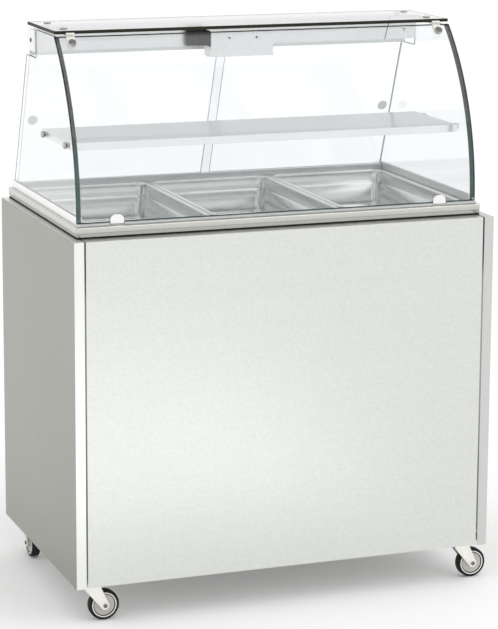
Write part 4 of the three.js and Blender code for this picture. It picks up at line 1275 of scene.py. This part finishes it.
def make_knob(s):
    low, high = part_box("thermostat_knob")
    centre = middle("thermostat_knob")
    face = panel_face()
    radius = (high.z - low.z) / 2
    grip = radius - 4 * MM
    matrix = Matrix.Translation((centre.x, 0, centre.z)) @ TURNS["y"]
    base, top = face + 1 * MM, high.y - 1 * MM
    form = Form()
    edge, shoulder = base + 2 * MM, base + 4 * MM
    skirt = [(0, base), (radius, base), (radius, edge), (radius - 2 * MM, shoulder), (0, shoulder)]
    form.lathe(skirt, matrix, 64)
    ring = fluted(grip, 0.9 * MM, s.flutes, 8, 3)
    crown = ((1.0, -1.5), (0.96, -0.5), (0.86, 0), (0.8, -0.6))
    levels = [(1.0, base + 3 * MM), *[(k, top + rise * MM) for k, rise in crown]]
    form.skin([[(u * k, v * k, y) for u, v in ring] for k, y in levels], matrix)
    pointer = 1 * MM
    form.block((-pointer, 0, top - pointer), (pointer, grip * 0.92, top + 0.4 * MM), 1, matrix)
    shaft = 3 * MM
    form.lathe([(0, low.y), (shaft, low.y), (shaft, base + 1 * MM), (0, base + 1 * MM)], matrix, 24, 2)
    finishes = ["black_plastic", "white_plastic", "zinc"]
    form.piece("thermostat_knob_fluted", "knob", finishes, "black", ["thermostat_knob"], 0.2 * MM)
    make_dial(s, matrix, face)
    make_thermostat(matrix, face - 2 * MM)


def make_dial(s, matrix, face):
    """Marks round the knob, with a longer one at every fifth."""
    sweep, half = 270, 0.35 * MM
    form = Form()
    for i in range(s.ticks):
        turn = math.radians(225 - sweep * i / (s.ticks - 1))
        reach = s.dial + (3 * MM if i % 5 == 0 else 1.8 * MM)
        mark = matrix @ Matrix.Rotation(turn, 4, "Z")
        form.block((s.dial, -half, face + 0.02 * MM), (reach, half, face + 0.12 * MM), 0, mark)
    form.piece("dial_marks", "cabinet", ["black_plastic"], "black", bevel=0)


def make_thermostat(matrix, front):
    """The thermostat's body behind the panel."""
    body, back = front - 20 * MM, front - 24 * MM
    form = Form().extrude(rounded(38 * MM, 34 * MM, 5 * MM, 5), body, front, matrix)
    form.lathe([(0, back), (12 * MM, back), (13 * MM, body), (0, body)], matrix, 32, 1)
    form.piece("thermostat_body", "cabinet", ["black_plastic", "zinc"], "black", bevel=0.5 * MM)


def make_switches(s):
    face = panel_face() + 0.05 * MM
    for node, finish_name in (("heat_switch", "red_plastic"), ("light_switch", "black_plastic")):
        dress(node, finish_name, 0.8 * MM, 3)
        low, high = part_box(node)
        centre = (middle(node).x, middle(node).z)
        wide, tall = high.x - low.x + 1.4 * MM, high.z - low.z + 1.6 * MM
        hole = rounded(wide, tall, 1.5 * MM, 4, centre)
        outline = rounded(wide + 2 * s.bezel, tall + 2 * s.bezel, 2.5 * MM, 6, centre)
        form = Form().extrude(outline, face, face + 2.15 * MM, TURNS["y"], [hole])
        form.piece(node + "_bezel", "cabinet", ["black_plastic"], "black", bevel=0.5 * MM, segments=3)
    centre = middle("light_switch")
    matrix = Matrix.Translation((centre.x + s.pilot_gap, 0, centre.z)) @ TURNS["y"]
    r, collar = s.pilot, s.pilot + 2 * MM
    edge, seat = panel_face() + 1.6 * MM, panel_face() + 2.4 * MM
    form = Form().lathe([(0, face), (collar, face), (collar, edge), (r, seat), (0, seat)], matrix, 40, 1)
    turns = [math.radians(15 * i) for i in range(6)]
    dome = [(r * 0.95 * math.cos(t), seat + r * 0.5 * math.sin(t)) for t in turns]
    form.lathe([*dome, (0, seat + r * 0.5)], matrix, 40, 0)
    form.piece("pilot_lamp", "cabinet", ["pilot_red", "zinc"], "red", bevel=0)


def make_gland():
    low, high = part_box("cable_gland")
    centre = middle("cable_gland")
    matrix = Matrix.Translation((centre.x, 0, centre.z)) @ TURNS["y"]
    panel = panel_face()
    half = (high.x - low.x) / 2 * math.cos(math.pi / 6)
    form = Form().nut((centre.x, panel + 0.3 * MM, centre.z), "y", half, 6.5 * MM)
    bore, thread, dome = 4.6 * MM, 8 * MM, 9 * MM
    profile = [
        (bore, low.y),
        (thread, low.y),
        (thread, panel),
        (thread, panel + 4 * MM),
        (dome, panel + 7 * MM),
        (dome, high.y - 4 * MM),
        (dome - 1.2 * MM, high.y - 1.4 * MM),
        (bore + 1.6 * MM, high.y),
        (bore, high.y - 0.6 * MM),
    ]
    form.lathe(profile, matrix, 40, closed=True)
    ribs, half = 18, 0.5 * MM
    rib_low, rib_high = (dome - 0.6 * MM, -half, panel + 7.4 * MM), (dome + half, half, high.y - 4.2 * MM)
    for i in range(ribs):
        form.block(rib_low, rib_high, 0, matrix @ Matrix.Rotation(2 * math.pi * i / ribs, 4, "Z"))
    finishes = ["black_plastic"]
    form.piece("cable_gland_turned", "cabinet", finishes, "black", ["cable_gland"], bevel=0.15 * MM)


# ---------------------------------------------------------------- castors


class CastorFrame:
    """Places and sizes of one castor, with local X from its swivel towards its wheel."""

    def __init__(self, name):
        self.name = name
        plate_low, plate_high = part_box(name + "_plate")
        tyre_low, tyre_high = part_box(name + "_tyre")
        swivel = (plate_low + plate_high) / 2
        wheel = (tyre_low + tyre_high) / 2
        reach = (wheel - swivel).xy
        self.trail = reach.length
        self.radius = (tyre_high.z - tyre_low.z) / 2
        self.half = min(tyre_high.x - tyre_low.x, tyre_high.y - tyre_low.y) / 2
        self.top = plate_high.z
        self.plate = plate_high.x - plate_low.x
        self.race = plate_low.z
        self.axle = wheel.z
        turn = math.atan2(reach.y, reach.x)
        self.matrix = Matrix.Translation((swivel.x, swivel.y, 0)) @ Matrix.Rotation(turn, 4, "Z")
        self.across = self.matrix @ Matrix.Translation((self.trail, 0, self.axle)) @ TURNS["y"]


def make_castor(name, s):
    c = CastorFrame(name)
    make_castor_plate(c)
    make_castor_fork(c, s)
    make_castor_wheel(c, s)


def make_castor_plate(c):
    thickness, bolt_at = 2.5 * MM, 22 * MM
    under = c.top - thickness
    form = Form().extrude(rounded(c.plate, c.plate, 6 * MM, 6), under, c.top, c.matrix)
    low, high = c.race, under + 0.2 * MM
    cup = [
        (0, low),
        (17 * MM, low),
        (21 * MM, low + 0.4 * MM),
        (22 * MM, low + 1.6 * MM),
        (20.5 * MM, high),
        (0, high),
    ]
    form.lathe(cup, c.matrix, 48)
    for x in (-bolt_at, bolt_at):
        for y in (-bolt_at, bolt_at):
            form.nut(c.matrix @ Vector((x, y, under)), "-z", 4.2 * MM, 3 * MM, 1)
    finishes = ["zinc", "castor_bolt"]
    form.piece(c.name + "_plate_pressed", "cabinet", finishes, "plated", [c.name + "_plate"])


def fork_outline(c, s, inset=0.0):
    """Swept leg: broad under the crown, narrowing to a round eye at the axle."""
    crown = c.race - CROWN_GAP - inset
    front, back = -19 * MM + inset, 20 * MM - inset
    return [
        (front, crown),
        (front, crown - 13 * MM + inset),
        *arc((c.trail, c.axle), s.eye - inset, 222, 380, 18),
        (back, crown - 9 * MM),
        (back, crown),
    ]


def make_castor_fork(c, s):
    inner = c.half + 3 * MM
    outer = inner + s.leg
    ridge = outer + s.ridge
    crown = c.race - CROWN_GAP
    lap = 0.2 * MM
    form = Form()
    cap = rounded(39 * MM, 2 * outer, 5 * MM, 6, (0.5 * MM, 0))
    form.extrude(cap, crown - 5 * MM, crown, c.matrix)
    rivet = mm((0, -9), (4, -9), (6.5, -7.4), (7, -5), (0, -5))
    form.lathe([(radius, crown + z) for radius, z in rivet], c.matrix, 28, 1)
    eye_top = c.axle + s.eye
    fold = [(9 * MM, crown), (11 * MM, crown), (c.trail + 1 * MM, eye_top), (c.trail - 1 * MM, eye_top)]
    layers = (
        (fork_outline(c, s), inner, outer),
        (fork_outline(c, s, 3.2 * MM), outer - lap, ridge),
        (fold, ridge - lap, ridge + 0.9 * MM),
    )
    washer = mm((0, 0), (8.4, 0), (8.4, 0.7), (0, 0.7))
    axle_end = mm((0, 2.9), (2.6, 2.9), (3.2, 2.4), (3.2, 0), (0, 0))
    for _, sign in SIDES:
        for outline, near, far in layers:
            form.extrude(outline, *sorted((sign * near, sign * far)), c.matrix @ TURNS["y"])
        axis = c.across.to_3x3() @ Vector((0, 0, sign))
        place = c.across @ Vector((0, 0, sign * ridge))
        form.lathe(washer, at(place, axis), 32, 0)
        form.nut(place + axis * 0.5 * MM, axis, s.bolt, 2.0 * MM, 1)
        form.lathe(axle_end, at(place, axis), 20, 1)
    axle = 4 * MM
    form.lathe([(0, -outer), (axle, -outer), (axle, outer), (0, outer)], c.across, 24, 1)
    finishes = ["zinc", "castor_bolt"]
    name = c.name + "_fork"
    form.piece(name + "_pressed", c.name + "_swivel_body", finishes, "plated", [name], 0.5 * MM, 3)


def make_castor_wheel(c, s):
    rim = c.radius - s.tyre
    half = c.half
    body = c.name + "_wheel_body"
    hub = mm((4.6, 2), (9.6, 2), (10, 1.4), (10.6, -2.8), (12, -3.4))
    web = mm((-5.6, -2.2), (-4.8, -2.8), (-4.2, -5.5), (-3.4, -5.5), (-2.8, -1.0), (-2.2, -0.4), (0, -0.6))
    faces = [(r, half + y) for r, y in hub] + [(rim + r, half + y) for r, y in web]
    # Painted shade: the groove's faces take the black finish for the shade in the groove.
    disc, ring, groove = 0, 1, 2
    tones = [disc] * 6 + [groove] * 3 + [ring] * 2
    wheel = Form().lathe(mirrored(faces), c.across, 64, [*tones, ring, *tones[::-1], disc], closed=True)
    finishes = ["hub_plastic", "hub_ring", "black_plastic"]
    wheel.piece(c.name + "_wheel_moulded", body, finishes, "hub", [c.name + "_wheel"], 0.25 * MM)
    inner, shoulder, edge = rim + 0.3 * MM, 5 * MM, half - 0.2 * MM
    side = [(inner, edge - 1 * MM), (inner + 1.2 * MM, edge)]
    side += [(y, x) for x, y in arc((edge - shoulder, c.radius - shoulder), shoulder, 0, 78, 7)]
    tyre = Form().lathe(mirrored(side, [(c.radius, 0)]), c.across, 72, closed=True)
    tyre.piece(c.name + "_tyre_moulded", body, ["rubber"], "tyre", [c.name + "_tyre"], bevel=0, crease=50)


def make_castors():
    s = bpy.context.scene.steam_castors
    for end, side in CASTORS:
        name = f"castor_{end}_{side}"
        make_castor(name, s)
        if end == "rear":
            dress(name + "_brake", "black_plastic", 1.0 * MM, 3)


# ---------------------------------------------------------------- stage


def flat_card(name, x0, x1, y0, y1, z):
    """A level rectangle that belongs to the stage."""
    data = bpy.data.meshes.new(name)
    data.from_pydata([(x0, y0, z), (x1, y0, z), (x1, y1, z), (x0, y1, z)], [], [(0, 1, 2, 3)])
    card = bpy.data.objects.new(name, data)
    bpy.context.scene.collection.objects.link(card)
    return card


def make_floor(s):
    reach, under = 60, 0.5 * MM
    floor = flat_card("floor", -reach, reach, -reach, reach, -under)
    floor.data.materials.append(floor_finish("floor_finish", tuple(s.floor)))


def make_world(s):
    world = bpy.data.worlds.new("studio")
    bpy.context.scene.world = world
    shader = Shader(world)
    tone = shader.node("ShaderNodeBackground", {}, {"Color": (1, 1, 1, 1), "Strength": s.ambient})
    shader.node("ShaderNodeOutputWorld", {}, {"Surface": tone})


def make_sun(name, strength, spread, direction):
    light = bpy.data.lights.new(name, "SUN")
    light.energy = strength
    light.angle = math.radians(spread)
    lamp = bpy.data.objects.new(name, light)
    lamp.rotation_mode = "QUATERNION"
    lamp.rotation_quaternion = (-Vector(direction)).to_track_quat("-Z", "Y")
    bpy.context.scene.collection.objects.link(lamp)


def make_card(s):
    """A glowing card before the cabinet that only reflections see."""
    half, near, far, above = 0.6, -1.1, -2.7, 0.01
    card = flat_card("front_card", -half, half, far, near, above)
    shader = new_shader("front_card_cloth")
    weave = shader.noise(CLOUDY, 40, 2)
    sockets = {
        "Base Color": shader.blend(weave, (0.95, 0.95, 0.95), (1, 1, 1)),
        "Roughness": 0.9,
        "Emission Color": (1, 1, 1, 1),
        "Emission Strength": s.glow,
    }
    card.data.materials.append(shader.principled(sockets))
    card.visible_camera = False
    card.visible_diffuse = False
    card.visible_shadow = False
    card.visible_transmission = False


def make_camera(s):
    data = bpy.data.cameras.new("camera")
    data.lens = s.lens
    data.sensor_width = 36
    data.shift_y = s.shift
    data.clip_start = 0.1
    data.clip_end = 200
    camera = bpy.data.objects.new("camera", data)
    right = Vector((math.cos(s.yaw), -math.sin(s.yaw), 0))
    level = Vector((math.sin(s.yaw), math.cos(s.yaw), 0))
    ahead = level * math.cos(s.pitch) - Vector((0, 0, math.sin(s.pitch)))
    up = right.cross(ahead)
    cos, sin = math.cos(s.roll), math.sin(s.roll)
    axes = (right * cos + up * sin, up * cos - right * sin, -ahead)
    camera.matrix_world = Matrix.Translation(Vector(s.camera_place)) @ Matrix(axes).transposed().to_4x4()
    bpy.context.scene.collection.objects.link(camera)
    bpy.context.scene.camera = camera


def make_stage():
    s = bpy.context.scene.steam_stage
    bpy.context.scene.view_settings.view_transform = "Standard"
    make_floor(s)
    make_world(s)
    make_sun("broad_light", s.sun, spread=50, direction=(0.55, -0.75, 1.1))
    make_card(s)
    make_camera(s)


# ---------------------------------------------------------------- operators


class STEAM_OT_cabinet(bpy.types.Operator):
    """Finish the sheet steel of the cabinet and its top frame"""

    bl_idname = "steam.cabinet"
    bl_label = "Cabinet"

    def execute(self, context):
        make_cabinet()
        return {"FINISHED"}


class STEAM_OT_pans(bpy.types.Operator):
    """Press the food pans and fold the bars between them"""

    bl_idname = "steam.pans"
    bl_label = "Food pans"

    def execute(self, context):
        make_pans()
        return {"FINISHED"}


class STEAM_OT_well(bpy.types.Operator):
    """Finish the water well, its heater and its drain"""

    bl_idname = "steam.well"
    bl_label = "Heated well"

    def execute(self, context):
        make_well()
        return {"FINISHED"}


class STEAM_OT_glass(bpy.types.Operator):
    """Bend the front pane and cut the flat panes and doors"""

    bl_idname = "steam.glass"
    bl_label = "Glass"

    def execute(self, context):
        make_glass()
        return {"FINISHED"}


class STEAM_OT_fittings(bpy.types.Operator):
    """Fit hinges, grips, channels, tracks, seal and screws to the glass"""

    bl_idname = "steam.fittings"
    bl_label = "Glass fittings"

    def execute(self, context):
        make_fittings()
        return {"FINISHED"}


class STEAM_OT_shelf(bpy.types.Operator):
    """Finish the display shelf and turn its studs"""

    bl_idname = "steam.shelf"
    bl_label = "Display shelf"

    def execute(self, context):
        make_shelf()
        return {"FINISHED"}


class STEAM_OT_lamp(bpy.types.Operator):
    """Build the lamp, its ballast and the covers of its beam"""

    bl_idname = "steam.lamp"
    bl_label = "Lamp"

    def execute(self, context):
        make_lamp()
        return {"FINISHED"}


class STEAM_OT_controls(bpy.types.Operator):
    """Build the knob, switches, pilot lamp and cable gland"""

    bl_idname = "steam.controls"
    bl_label = "Controls"

    def execute(self, context):
        make_controls()
        return {"FINISHED"}


class STEAM_OT_castors(bpy.types.Operator):
    """Build the four castors"""

    bl_idname = "steam.castors"
    bl_label = "Castors"

    def execute(self, context):
        make_castors()
        return {"FINISHED"}


class STEAM_OT_stage(bpy.types.Operator):
    """Set the floor, the light and the camera"""

    bl_idname = "steam.stage"
    bl_label = "Stage"

    def execute(self, context):
        make_stage()
        return {"FINISHED"}


OPERATORS = (
    STEAM_OT_cabinet,
    STEAM_OT_pans,
    STEAM_OT_well,
    STEAM_OT_glass,
    STEAM_OT_fittings,
    STEAM_OT_shelf,
    STEAM_OT_lamp,
    STEAM_OT_controls,
    STEAM_OT_castors,
    STEAM_OT_stage,
)

SETTINGS = {
    "steam_finishes": FinishSettings,
    "steam_glass": GlassSettings,
    "steam_pans": PanSettings,
    "steam_lamp": LampSettings,
    "steam_controls": ControlSettings,
    "steam_castors": CastorSettings,
    "steam_stage": StageSettings,
}


class STEAM_PT_panel(bpy.types.Panel):
    """The steps and the sizes in the sidebar"""

    bl_idname = "STEAM_PT_panel"
    bl_label = "Steam Table"
    bl_space_type = "VIEW_3D"
    bl_region_type = "UI"
    bl_category = "Steam Table"

    def draw(self, context):
        for operator in OPERATORS:
            self.layout.operator(operator.bl_idname)
        for name, group in SETTINGS.items():
            box = self.layout.box()
            box.label(text=group.__doc__)
            for setting in group.__annotations__:
                box.prop(getattr(context.scene, name), setting)


def register():
    for group in (*SETTINGS.values(), *OPERATORS, STEAM_PT_panel):
        bpy.utils.register_class(group)
    for name, group in SETTINGS.items():
        setattr(bpy.types.Scene, name, bpy.props.PointerProperty(type=group))


def unregister():
    for name in SETTINGS:
        delattr(bpy.types.Scene, name)
    for group in reversed((*SETTINGS.values(), *OPERATORS, STEAM_PT_panel)):
        bpy.utils.unregister_class(group)


def main():
    register()
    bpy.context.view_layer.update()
    for operator in OPERATORS:
        family, name = operator.bl_idname.split(".")
        getattr(getattr(bpy.ops, family), name)()


if __name__ == "__main__":
    main()
